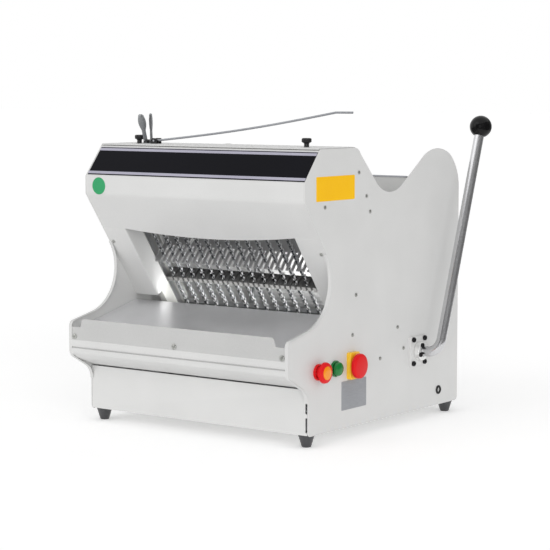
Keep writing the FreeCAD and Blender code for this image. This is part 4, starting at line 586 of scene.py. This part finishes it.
print("a bend has", len(rounded([(0, 0), (1, 0), (1, 1)], (0.5,))) - 2, "points")

# %% The hood's grid


def in_blade(y, z):
    """Blade-frame n and t of a case point: n = y cos T + z sin T, t = z cos T - y sin T from the eccentric shaft."""
    y, z = y - CRANK_Y, z - CRANK_Z
    return y*math.cos(T) + z*math.sin(T), -y*math.sin(T) + z*math.cos(T)


OUTLET_TOP, OUTLET_SAG, HALF_OUT = 395.9, 14.7, 210.0    # corner height t, sag and half width of the outlet
SAG_RADIUS = (HALF_OUT**2 + OUTLET_SAG**2)/(2*OUTLET_SAG)
HOOD_FOOT = (216 - CRANK_Z - HOOD_N*math.sin(T))/math.cos(T)    # t where the legs end, 216 mm up the case


def hood_face():
    """Rows run down the folds to the bend, then straight down to the outlet's edge.

    The edge is t(x) = top - sag + R - sqrt(R^2 - x^2), an arc that sags between the outlet's corners.
    """
    folds = rounded([(107, ROOF_Z - 2), (BROW_Y + (ROOF_Z - 2 - BROW_Z)*math.tan(B), ROOF_Z - 2), (BROW_Y, BROW_Z),
                     (BROW_Y, BEND_Z), (hood_y(400), 400)], (2.5, 4, 6))
    leg = np.linspace(HALF_OUT + 2, INNER, 5)
    xs = np.concatenate([-leg[::-1], np.linspace(-HALF_OUT, HALF_OUT, 61), leg])
    inside = np.minimum(np.abs(xs), HALF_OUT)
    edge = OUTLET_TOP - OUTLET_SAG + SAG_RADIUS - np.sqrt(SAG_RADIUS**2 - inside**2)
    upper = grid_points(xs, folds[:-1, :1], folds[:-1, 1:], "case")
    start = in_blade(*folds[-2])[1]
    t = start + (edge - start)*np.linspace(0, 1, 9)[1:, None]
    return thicken(np.concatenate([upper, grid_points(xs, HOOD_N, t, "blade")]), 2.0)


def hood_leg(side):
    """The leg beside the outlet: across the face, round a 3 mm bend and back along the passage."""
    across = rounded([(INNER, HOOD_N), (HALF_OUT, HOOD_N), (HALF_OUT, HOOD_N + 40)], (3,))
    t = np.linspace(HOOD_FOOT, OUTLET_TOP, 12)[:, None]
    return thicken(grid_points(across[:, 0]*side, across[:, 1], t, "blade"), 2.0*side)


piece("hood", [hood_face(), hood_leg(1), hood_leg(-1)], PAINT, "case", ["front_hood"], bevel=0.4)

# %% [markdown]
# ## Roof, valley and back
#
# The roof lifts off for cleaning. It is a sheet folded down behind into the
# front wall of the loading valley, with a ceiling that runs on to the blades.

# %% Roof
BETWEEN = 267.7    # half width of a sheet between the side panels
ROOF = rounded([(BAND_TOP_Y - 1.2, ROOF_Z - 1.4), (BAND_TOP_Y, ROOF_Z), (160, ROOF_Z), (172, 516), (231, 455)],
               (0.8, 14, 8))
CEILING = [(231, 455), (173, 431.5), (115, 408)]
piece("roof", [
    sheet_along(ROOF, np.linspace(-BETWEEN, BETWEEN, 21), 2.0),
    sheet_along(CEILING, np.linspace(-209.5, 209.5, 21), -2.0),
], PAINT, "case", ["top_cover"], bevel=0.4)

# %% Rear cover


def rear_skin():
    """The back pan with pressed louvres: y = 540 + 3.5 (1 - |(|x| - 130)/75|^6) sin(2 pi (z - 60)/18), where positive.

    Each bank of louvres is 150 mm wide and 144 mm high, and the ridges are 18 mm apart.
    """
    x = np.linspace(-264, 264, 265)
    z = np.linspace(8, 406, 200)[:, None]
    off = np.abs(np.abs(x) - 130)
    slot = np.clip(1 - (off/75)**6, 0, 1)*(off < 75)
    wave = np.clip(np.sin((z - 60)/18*2*math.pi), 0, 1)*(np.abs(z - 150) < 72)
    return thicken(grid_points(x, 540 + 3.5*slot*wave, z, "case"), -1.6)


piece("rear_pan", [
    rear_skin(),
    block((-264, 264), (522, 540), (404, 406)),
    block((-264, -262), (522, 540), (8, 406)), block((262, 264), (522, 540), (8, 406)),
    block((-268, -262), (522, 524), (8, 406)), block((262, 268), (522, 524), (8, 406)),
], PAINT, "case", ["rear_cover"])

# %% [markdown]
# ## Outfeed tray and crumb drawer
#
# The tray is stainless steel so that bread may lie on it; its front is a
# raised lip over a rolled edge. Below, the crumb drawer's front is a plain
# panel with two finger gaps at its right side.

# %% Tray
piece("tray_bed", [
    sheet_along(rounded([(140, 180), (140, 206), (-57, 158.5)], (4,)), np.linspace(-BETWEEN, BETWEEN, 41), 2.0),
], TRAY_STEEL, "case", ["outfeed_tray"], bevel=0.4)

# %% The tray's lip


def apron():
    """The lip: its half width grows down the rounded top corners, then steps out over the noses' flanges."""
    z = np.array([185, 184.4, 182, 178, 174, 170.5, 169, 168.4, 168, 160, 150, 143])[:, None]
    half = np.interp(z, [168, 168.4, 169, 170.5, 174, 178, 182, 184.4, 185],
                     [267.8, 243, 241, 240, 239, 238, 236.6, 234.5, 231])
    return thicken(grid_points(half*np.linspace(-1, 1, 41), NOSE_Y - 0.3, z, "case"), 1.8)


piece("tray_lip", [
    sheet_along(rounded([(-58, 143.5), (-63, 143), (-64, 141), (-64, 131), (-63, 128.6), (-60.5, 127.6), (-60.5, 126.4),
                         (-63, 125.4), (-64, 122), (-63, 115), (-50, 105.5), (-26, 95.5), (-1.5, 86)],
                        (0.5, 1, 1, 1, 1, 0.5, 0.5, 1, 2, 5, 8, 5)), np.linspace(-BETWEEN, BETWEEN, 31), 1.8),
], PAINT, "case", ["outfeed_tray"], bevel=0.4)
piece("tray_apron", [apron()], PAINT_GREY, "case", bevel=0.4)

# %% Drawer


def drawer_front():
    """The drawer's face in x and z, cut back 4 mm twice at its right side for the fingers, as a 2 mm slab."""
    outline = np.array([(267.4, -3.7), (267.4, 1), (263.4, 2), (263.4, 29), (267.4, 30), (267.4, 37), (263.4, 38),
                        (263.4, 70), (267.4, 71), (267.4, 83), (-267.4, 83), (-267.4, -3.7)], float)
    count = len(outline)
    points = np.concatenate([np.c_[outline[:, 0], np.full(count, y), outline[:, 1]] for y in (0.0, 2.0)])
    return placed(points, "case"), grid_faces(2, count, True) + end_caps(2, count)


piece("drawer_face", [drawer_front()], PAINT, "drawer", ["crumb_drawer_front"], bevel=0.6)

# %% [markdown]
# ## Trim band and stickers
#
# The band is a strip of printed film across the slope: a black core between
# pinstripes. The round and the square sticker are left without any words.

# %% Band
BAND_X = (-265, 268)
piece("trim_film", [block(BAND_X, (-0.8, 0), (4, 72), "brow")], FILM_BLACK, "case", ["trim_band"])
piece("trim_pinstripes", [
    block(BAND_X, (-1.0, -0.7), span, "brow") for span in ((6.2, 12.4), (63.6, 69.6), (71.6, 72.2))
], FILM_SILVER, "case")

# %% Turned and plate shapes


def lathe(profile, centre, where="case", axis="x", segments=64):
    """A profile of (distance along, radius) turned round an axis through centre: u = r cos a, v = r sin a, w along."""
    along, radius = np.asarray(profile, float).T
    a = np.linspace(0, 2*math.pi, segments, endpoint=False)
    u = radius[:, None]*np.cos(a)
    v = radius[:, None]*np.sin(a)
    w = np.repeat(along[:, None], segments, 1)
    order = {"x": (w, u, v), "y": (u, w, v), "-y": (u, -w, v), "z": (u, v, w)}[axis]
    points = np.stack(order, -1).reshape(-1, 3) + np.asarray(centre, float)
    return placed(points, where), grid_faces(len(along), segments, True)


def rounded_plate(centre, half, corner, normal, rise):
    """A plate with an arc c + r (cos a, sin a) in each corner; its front edge is broken by min(rise/2, 0.8 mm)."""
    a = np.linspace(0, math.pi/2, 7)
    quarter = np.stack([half[0] - corner + corner*np.cos(a), half[1] - corner + corner*np.sin(a)], 1)
    flips = ((1, 1), (-1, 1), (-1, -1), (1, -1))
    outline = np.concatenate([(quarter if u*v > 0 else quarter[::-1])*(u, v) for u, v in flips])
    count = len(outline)
    rings = []
    broken = min(rise/2, 0.8)
    for height, shrink in ((0, 0), (rise - broken, 0), (rise, broken)):
        ring = outline*(1 - shrink/np.array(half))
        u, v, w = ring[:, 0], ring[:, 1], np.full(count, height)
        rings.append(np.stack((w, u, v) if normal == "x" else (u, -w, v), 1))
    points = np.concatenate(rings) + np.asarray(centre, float)
    return placed(points, "case"), grid_faces(3, count, True) + end_caps(3, count)


print("a ring has", len(lathe([(0, 1), (0, 2)], (0, 0, 0))[0]), "points")

# %% Stickers and rating plate
piece("round_sticker", [
    lathe([(0, 0), (0, 17), (0.35, 16.8), (0.45, 15), (0.45, 0)], (-233.6, BROW_Y, 447), axis="-y"),
], FILM_GREEN, "case")
piece("square_sticker", [rounded_plate((HALF_WIDTH, 88, 454), (63, 23), 2, "x", 0.4)], FILM_YELLOW, "case")
piece("blank_rating_plate", [
    rounded_plate((HALF_WIDTH, 151, 57), (42, 28), 2, "x", 0.6),
    rounded_plate((HALF_WIDTH + 0.55, 151, 57), (38, 24), 1, "x", 0.3),
], ANODISED, "case", ["rating_plate"])

# %% [markdown]
# ## Lever
#
# A chromed bar leaves the hub, bends a quarter turn and rises to a black ball.
# The bar is a circle carried along its centre line; everything round is a
# profile turned about its axis.

# %% Tubes


def tube(path, radius, segments):
    """A circle carried along a path, square to it: path + r (cos a side + sin a other), with its ends closed."""
    path = np.asarray(path, float)
    tangent = np.gradient(path, axis=0)
    tangent /= np.linalg.norm(tangent, axis=1)[:, None]
    side = np.cross(tangent, (0.13, 0.98, 0.15))
    side /= np.linalg.norm(side, axis=1)[:, None]
    other = np.cross(tangent, side)
    a = np.linspace(0, 2*math.pi, segments, endpoint=False)
    ring = np.cos(a)[:, None]*side[:, None] + np.sin(a)[:, None]*other[:, None]
    points = path[:, None] + radius*ring
    return points.reshape(-1, 3), grid_faces(len(path), segments, True) + end_caps(len(path), segments)


print("a rod has", len(tube([(0, 0, 0), (0, 0, 9)], 1, 12)[0]), "points")

# %% Lever
BAR_X = 322          # where the upright bar stands
BAR_BEND = 26        # radius of its quarter bend
BAR_RADIUS = 10.0
BALL_RADIUS = 22.5
BALL_Z = 473         # the ball's centre, up the lever


def lever_path():
    """Centre line in the lever frame: out along x, a quarter bend x = x0 + r sin a, z = r - r cos a, then up."""
    a = np.linspace(0, math.pi/2, 17)
    bend = np.stack([BAR_X - BAR_BEND + BAR_BEND*np.sin(a), 0*a, BAR_BEND - BAR_BEND*np.cos(a)], 1)
    return np.concatenate([[(284, 0, 0), (290, 0, 0)], bend, [(BAR_X, 0, z) for z in np.linspace(60, 458, 12)]])


piece("lever_bar", [tube(placed(lever_path(), "lever"), BAR_RADIUS, 40)], CHROME, "lever",
      ["lever_rod"])
crown = [(BALL_RADIUS*math.sin(a), BALL_RADIUS*math.cos(a))
         for a in np.linspace(math.radians(-66), math.radians(89.9), 26)]
ball = [(-22.4, 0), (-22.4, 7.6), (-21.6, 8.6)] + crown + [(BALL_RADIUS, 0)]
piece("ball", [lathe(ball, (BAR_X, 0, BALL_Z), "lever", "z", 72)], PHENOLIC, "lever", ["ball_knob"])

# %% Hub and flange
piece("hub", [lathe([(274.3, 0), (274.3, 17.6), (275.2, 18.5), (284.6, 18.5), (285.7, 17.6), (286, 16.4), (286, 0)],
                    (0, 0, 0), "lever", "x", 72)],
      POLISHED, "lever", ["lever_hub"])


def socket_screw(centre, where, axis, radius, height):
    """A cap screw: a chamfered cylinder with a recess in the middle of its face."""
    return lathe([(0, 0), (0, radius), (height*0.8, radius), (height, radius*0.86), (height, radius*0.5),
                  (height*0.45, radius*0.44), (height*0.45, 0)], centre, where, axis, 28)


piece("hub_cap_screws", [socket_screw((286, -10.7, z), "lever", "x", 4.6, 3.6) for z in (9.9, -9.9)],
      BLACK_STEEL, "lever", ["hub_screws"])
piece("lever_flange", [rounded_plate((HALF_WIDTH, LEVER_Y, LEVER_Z), (30, 30), 4, "x", 4)], PAINT, "case",
      ["lever_bearing"])
piece("flange_bolts", [socket_screw((HALF_WIDTH + 4, LEVER_Y + 20.5*a, LEVER_Z + 24*b), "case", "x", 5.2, 4.2)
                       for a in (-1, 1) for b in (-1, 1)],
      BLACK_STEEL, "case", ["bearing_bolts"])

# %% [markdown]
# ## Push buttons
#
# Three turned shapes: a red mushroom for stop, whose amber centre disc is a painted highlight of its glossy face, a
# green crowned cap for start and a large emergency head on a yellow collar. Moulded plastic shows its roundness by its
# highlight, so each profile has a real crown and edge.

# %% Buttons


def crowned_cap(base, radius, height, crown):
    """Profile rows of a cap on a short straight side: the crown is h(a) = crown sin a, r(a) = R (0.12 + 0.88 cos a)."""
    shoulder = base + height - crown
    rows = [(shoulder + crown*math.sin(a), radius*(0.12 + 0.88*math.cos(a)))
            for a in np.linspace(0, math.pi/2, 9)[:-1]]
    return [(base, 0), (base, radius*0.93), (base + 0.8, radius)] + rows + [(base + height, 0)]


STOP, START, ESTOP = ((HALF_WIDTH, y, 113) for y in (31.7, 87.2, 142.7))
piece("stop_collar", [lathe([(0, 12.4), (0, 15.5), (3.4, 15.5), (4.4, 14.6), (4.4, 12.6), (4, 12.4), (0, 12.4)], STOP)],
      RED, "case", ["button_collars"])
piece("start_collar", [lathe([(0, 0), (0, 15.5), (3.4, 15.5), (4.4, 14.6), (4.4, 13.6), (0.7, 13.6), (0.7, 0)], START)],
      GREEN, "case", ["button_collars"])
piece("stop_mushroom", [lathe([(4.2, 0), (4.2, 11.6), (12.6, 11.8), (13.5, 18.8), (14.5, 20), (17.2, 20), (19.6, 19.1),
                               (21, 17), (21.5, 14.4), (21.5, 0)], STOP)],
      RED, "stop_button", ["stop_button_head"])
# The amber disc on the stop head is a painted highlight on its face.
piece("stop_highlight_disc", [lathe([(20.8, 0), (20.8, 12.8), (22, 12.6), (22.8, 10.5), (23.2, 6), (23.3, 0)], STOP)],
      AMBER_HIGHLIGHT, "stop_button")
piece("start_cap", [lathe(crowned_cap(5.2, 13, 9.5, 5.0), START)], GREEN, "start_button",
      ["start_button_cap"])
piece("emergency_collar", [rounded_plate(ESTOP, (16, 26), 4, "x", 9)],
      YELLOW, "case", ["estop_collar"])
piece("emergency_head", [lathe([(15.1, 0), (15.1, 22.8), (16, 24), (20, 24), (22, 23.4), (23.4, 21.6), (24, 18.6),
                                (24, 0)], ESTOP)],
      RED, "estop_mushroom", ["estop_head"])

# %% [markdown]
# ## Feet, screws and small fittings
#
# The feet are rubber cones under steel washers. A pan-head screw is a polar
# grid: the height falls off like a dome, less a cross-shaped recess.

# %% Feet
FEET = [(x, y) for x in (-252, 252) for y in (20, 514)]
piece("feet", [lathe([(-FOOT, 0), (-FOOT, 8), (-27.6, 9), (-9, 14.6), (-7.8, 15.4), (-2.4, 15.4), (-2.4, 0)],
                     (x, y, 0), "case", "z", 48) for x, y in FEET],
      FOOT_RUBBER, "case", ["rubber_feet"])
piece("foot_washers", [lathe([(-2.3, 0), (-2.3, 15), (-1.9, 15.4), (-0.5, 15.4), (-0.1, 15), (-0.1, 0)],
                             (x, y, 0), "case", "z", 48) for x, y in FEET],
      ZINC, "case")

# %% Screws


def pan_head(centre, where, axis, radius=3.8, height=1.9):
    """A screw head whose w runs along an axis of the frame: w = h sqrt(1 - 0.82 (r/R)^2.6).

    Inside a cross of two 1.1 mm slots, out to 0.62 R, it lies 1 mm deeper.
    """
    r = np.concatenate([[0.01], np.linspace(0.3, 0.68*radius, 6), np.linspace(0.76*radius, radius, 4)])
    a = np.linspace(0, 2*math.pi, 32, endpoint=False)
    u, v = r[:, None]*np.cos(a), r[:, None]*np.sin(a)
    top = height*np.sqrt(np.clip(1 - 0.82*(r/radius)**2.6, 0, 1))[:, None]
    slot = (np.minimum(np.abs(u), np.abs(v)) < 0.55) & (r[:, None] < 0.62*radius)
    w = np.broadcast_to(top, u.shape) - 1.0*slot
    skirt = np.stack([u[-1], v[-1], np.full(32, -0.2)], -1)[None]
    u, v, w = np.concatenate([np.stack([u, v, w], -1), skirt]).reshape(-1, 3).T
    turned = np.stack({"x": (w, u, v), "-x": (-w, u, v), "-y": (u, -w, v)}[axis], 1) + np.asarray(centre, float)
    rings = len(r) + 1
    return placed(turned, where), grid_faces(rings, 32, True) + end_caps(rings, 32)


# y and z of the pan heads on each side
SCREWED = [(165.4, 480.6), (145.7, 170.9), (53.1, 419.6), (157.1, 246.8), (191.5, 434.6), (203.9, 404.2),
           (304, 170), (326.5, 125.6), (241.7, 114.4)]
heads = [pan_head((side*HALF_WIDTH, y, z), "case", "x" if side > 0 else "-x") for side in (1, -1) for y, z in SCREWED]
heads += [pan_head((side*258, HOOD_N, 360), "blade", "-y") for side in (1, -1)]
heads += [pan_head((x, NOSE_Y - 0.3, 149), "case", "-y", 5.6, 2.6) for x in (-256, 0, 256)]
piece("screw_heads", heads, ZINC, "case", ["panel_screws"])

# %% Knobs and grommet
HOLDER_Y = 82    # case y of the bag holder's middle and of its knobs
for word, side in (("right", 1), ("left", -1)):
    knob = lathe([(0, 0), (0, 6.4), (1.2, 6.4), (2.2, 5.0), (8, 4.8), (9.8, 6.2), (11, 8.9), (12, 9.5), (17, 9.5),
                  (18.4, 8.6), (19, 6.6), (19, 0)], (207*side, HOLDER_Y, ROOF_Z), "case", "z", 48)
    piece(f"knob_{word}", [knob], ABS_BLACK, f"knob_{word}", [f"thumb_knob_{word}"])
piece("grommet", [lathe([(-6, 5), (-6, 9), (-2.2, 9), (-2, 7), (0, 7), (0, 9), (1.6, 9), (2.9, 7.6), (2.9, 5.6),
                         (2.2, 5), (-6, 5)], (HALF_WIDTH, 458.7, 24.8), "case", "x", 40)],
      RUBBER, "case", ["cable_grommet"])

# %% [markdown]
# ## Bag holder
#
# Two springy steel leaves and a long wire hold a paper bag open. A leaf is a
# grid whose width follows a spoon shape up its height.

# %% Leaves and wire
LEAF = 59    # height of a leaf


def spoon_leaf(x0, lean, spoon, turn):
    """A leaf: x = x0 - L h sin(lean) + w s sin(turn), y = y0 + w s cos(turn), z = z0 + L h cos(lean).

    Its half width w(h) tapers to 4.06 mm, then swells by a sine to the spoon and is rounded off at the tip; the face
    is hollowed by 1.6 (1 - s^2) h.
    """
    h = np.linspace(0, 1, 29)[:, None]
    s = np.linspace(-1, 1, 13)[None]
    swell = np.sin(np.clip((h - 0.45)/0.55, 0, 1)*math.pi)**0.9
    width = np.where(h < 0.45, 4.6 - 1.2*h, 4.06 + (spoon - 4.06)*swell)
    width = np.where(h > 0.96, width*np.sqrt(np.clip((1 - h)/0.04, 0.02, 1)) + 0.8, width)
    lean, turn = math.radians(lean), math.radians(turn)
    shift = -LEAF*h*math.sin(lean) + 1.6*(1 - s**2)*h
    return thicken(grid_points(x0 + shift + width*s*math.sin(turn), HOLDER_Y + width*s*math.cos(turn),
                               530.5 + LEAF*h*math.cos(lean), "case"), 1.0)


piece("bag_leaf_pair", [
    spoon_leaf(-190, 14, 8.5, 24), spoon_leaf(-176, 2, 6.5, -8),
    block((-193, -172), (75, 89), (529.5, 530.8)),
], BAR_STEEL, "case", ["bag_leaves"])
piece("bag_clip", [
    rounded_plate((-176, HOLDER_Y, ROOF_Z), (20, 10), 3, "z", 1.5),
    block((-168, -156), (74, 76), (528, 541)),
    block((-168, -156), (88, 90), (528, 541)),
    lathe([(-1.2, 0), (-1.2, 3.4), (17.2, 3.4), (17.2, 0)], (-162, 74, 536), "case", "y", 24),
    block((-190, -182), (76, 88), (529.5, 534.5)),
    block((-177, -170), (76, 88), (529.5, 535.5)),
], ABS_BLACK, "case", ["bag_bracket"], bevel=0.4)


def wire_path():
    """The wire's centre line: a long arm whose height is 536 + 58 u - 5 sin(pi u), and a level tip."""
    u = np.linspace(0, 1, 25)
    arm = np.stack([-162 + 384*u, HOLDER_Y + 75*u, 536 + 58*u - 5*np.sin(math.pi*u)], 1)
    tip = np.stack([222 + 34*u[1:], 157 + 8*u[1:], 594 + 0*u[1:]], 1)
    return np.concatenate([arm, tip])


piece("bag_wire_arm", [tube(placed(wire_path(), "case"), 2.2, 14),
                       tube(placed([(-162, y, 536) for y in (72, 78, 84, 92)], "case"), 2.0, 14)],
      WIRE, "wire", ["bag_wire"])

# %% [markdown]
# ## Blades
#
# Every second blade hangs in the front frame and the others in the rear one.
# A bread blade's cutting edge is a row of teeth, here a power of the absolute
# value of a sine along the blade; the section is flat with a ground bevel.

# %% Blades
PITCH = 13      # from one blade to the next
TOOTH = 12.7    # from one tooth to the next
HOOK = 3        # thickness of the cross pieces
BLADE_T = np.array([129.0, 453.0])    # the blades' ends


def strip(x, rows, t):
    """A thin solid up the blade: rows of (x offset, n) form its section, one section for each height t."""
    grid = np.stack([np.stack([np.full_like(t, x + dx), n + 0*t, t], -1) for dx, n in rows], 1)
    return placed(grid, "blade"), grid_faces(len(t), len(rows), True) + end_caps(len(t), len(rows))


def blade(x, near):
    """The flat of one blade, and the two cross pieces that hook it over its frame's bars."""
    flat = strip(x, [(-0.3, near), (0.3, near), (0.3, near + 5.4), (-0.3, near + 5.4)], BLADE_T)
    low, high = BLADE_T
    hooks = [block((x - 4.3, x + 4.3), (near, near + 10), span, "blade")
             for span in ((low, low + HOOK), (high - HOOK, high))]
    return [flat] + hooks


def cutting_edge(x, near, phase):
    """The ground edge: with w = |sin(pi (t + phase)/12.7)|^2.2 its root is n = 5.4 - 4.8 w and its tip 5.5 + 4.5 w."""
    t = np.arange(BLADE_T[0] + HOOK, BLADE_T[1] - HOOK + 0.1, TOOTH/10)
    wave = np.abs(np.sin(math.pi*(t + phase)/TOOTH))**2.2
    root, tip = near + 5.4 - 4.8*wave, near + 5.5 + 4.5*wave
    return strip(x, [(-0.34, root), (0.34, root), (0.05, tip), (-0.05, tip)], t)


for word, first, near, phase in (("front", -15, -12, 0.0), ("rear", -14, 4, 7.0)):
    places = [PITCH*number for number in range(first, 16, 2)]
    piece(f"{word}_blade_set", [part for x in places for part in blade(x, near)], BLADE, f"{word}_frame",
          [f"{word}_blades"])
    # The cutting edges carry the painted glint: a near-white, almost non-metal tone that makes each tooth shine.
    piece(f"{word}_cutting_edges", [cutting_edge(x, near, phase) for x in places], GLINT_EDGE, f"{word}_frame")

# %% [markdown]
# ## Pusher
#
# Behind the loaf stands a plate with one low tine for every gap between two blades. Along its upper edge a darker strip
# in the anodised finish is painted shade: it draws the shadow along the folded top edge.

# %% Pusher
PUSHER_HALF = 206    # half width of the pusher
FACE = -58           # its front, from the lever's line
FLOOR_R = 300        # radius of the curved floor about the lever's shaft
tines = [block((x - 1.5, x + 1.5), (FACE - 30, FACE + 1), (FLOOR_R - 3.6, FLOOR_R + 6), "lever")
         for x in PITCH*(np.arange(-15, 15) + 0.5)]
plate = block((-PUSHER_HALF, PUSHER_HALF), (FACE, FACE + 2), (FLOOR_R - 3.6, FLOOR_R + 45), "lever")
# The darker strip along the top edge is painted shade for the edge's dark line.
shade_strip = block((-PUSHER_HALF, PUSHER_HALF), (FACE - 1.5, FACE + 3.5), (FLOOR_R + 44, FLOOR_R + 47), "lever")
piece("pusher_plate", [plate] + tines, PAINT_GREY, "lever", ["pusher_comb"])
piece("pusher_painted_shade_strip", [shade_strip], ANODISED, "lever")

# %% [markdown]
# ## The solids that stay
#
# Bars, shafts, guides and brackets are already right as they are, so they
# keep their CAD mesh and only get their real finish.

# %% Finishes of the CAD nodes
KEPT = {
    PAINT: ["base_plate", "chute_cheek_right", "chute_cheek_left"],
    STAINLESS: ["crumb_drawer_pan"],
    FLOOR_STEEL: ["feed_floor"],
    MATT: ["pusher_arms", "front_blade_frame", "rear_blade_frame"],
    BAR_STEEL: ["crankshaft", "lever_shaft", "motor_shaft", "tie_rods", "spacer_posts", "eccentric_discs",
                "front_conrods", "rear_conrods", "motor_bracket", "shaft_bracket"],
    CAST: ["crank_bearings", "crank_pulley", "motor_pulley"],
    GUIDE_NYLON: ["blade_guide_upper", "blade_guide_lower"],
    ACETAL: ["guide_rail_right", "guide_rail_left", "contact_blocks"],
    RUBBER: ["drive_belt"],
    ENAMEL: ["motor"],
    RED: ["estop_stem"],
}
for material, names in KEPT.items():
    for name in names:
        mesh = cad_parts[name].data
        mesh.materials.clear()
        mesh.materials.append(material)
print("CAD nodes with a finish", sum(len(names) for names in KEPT.values()))
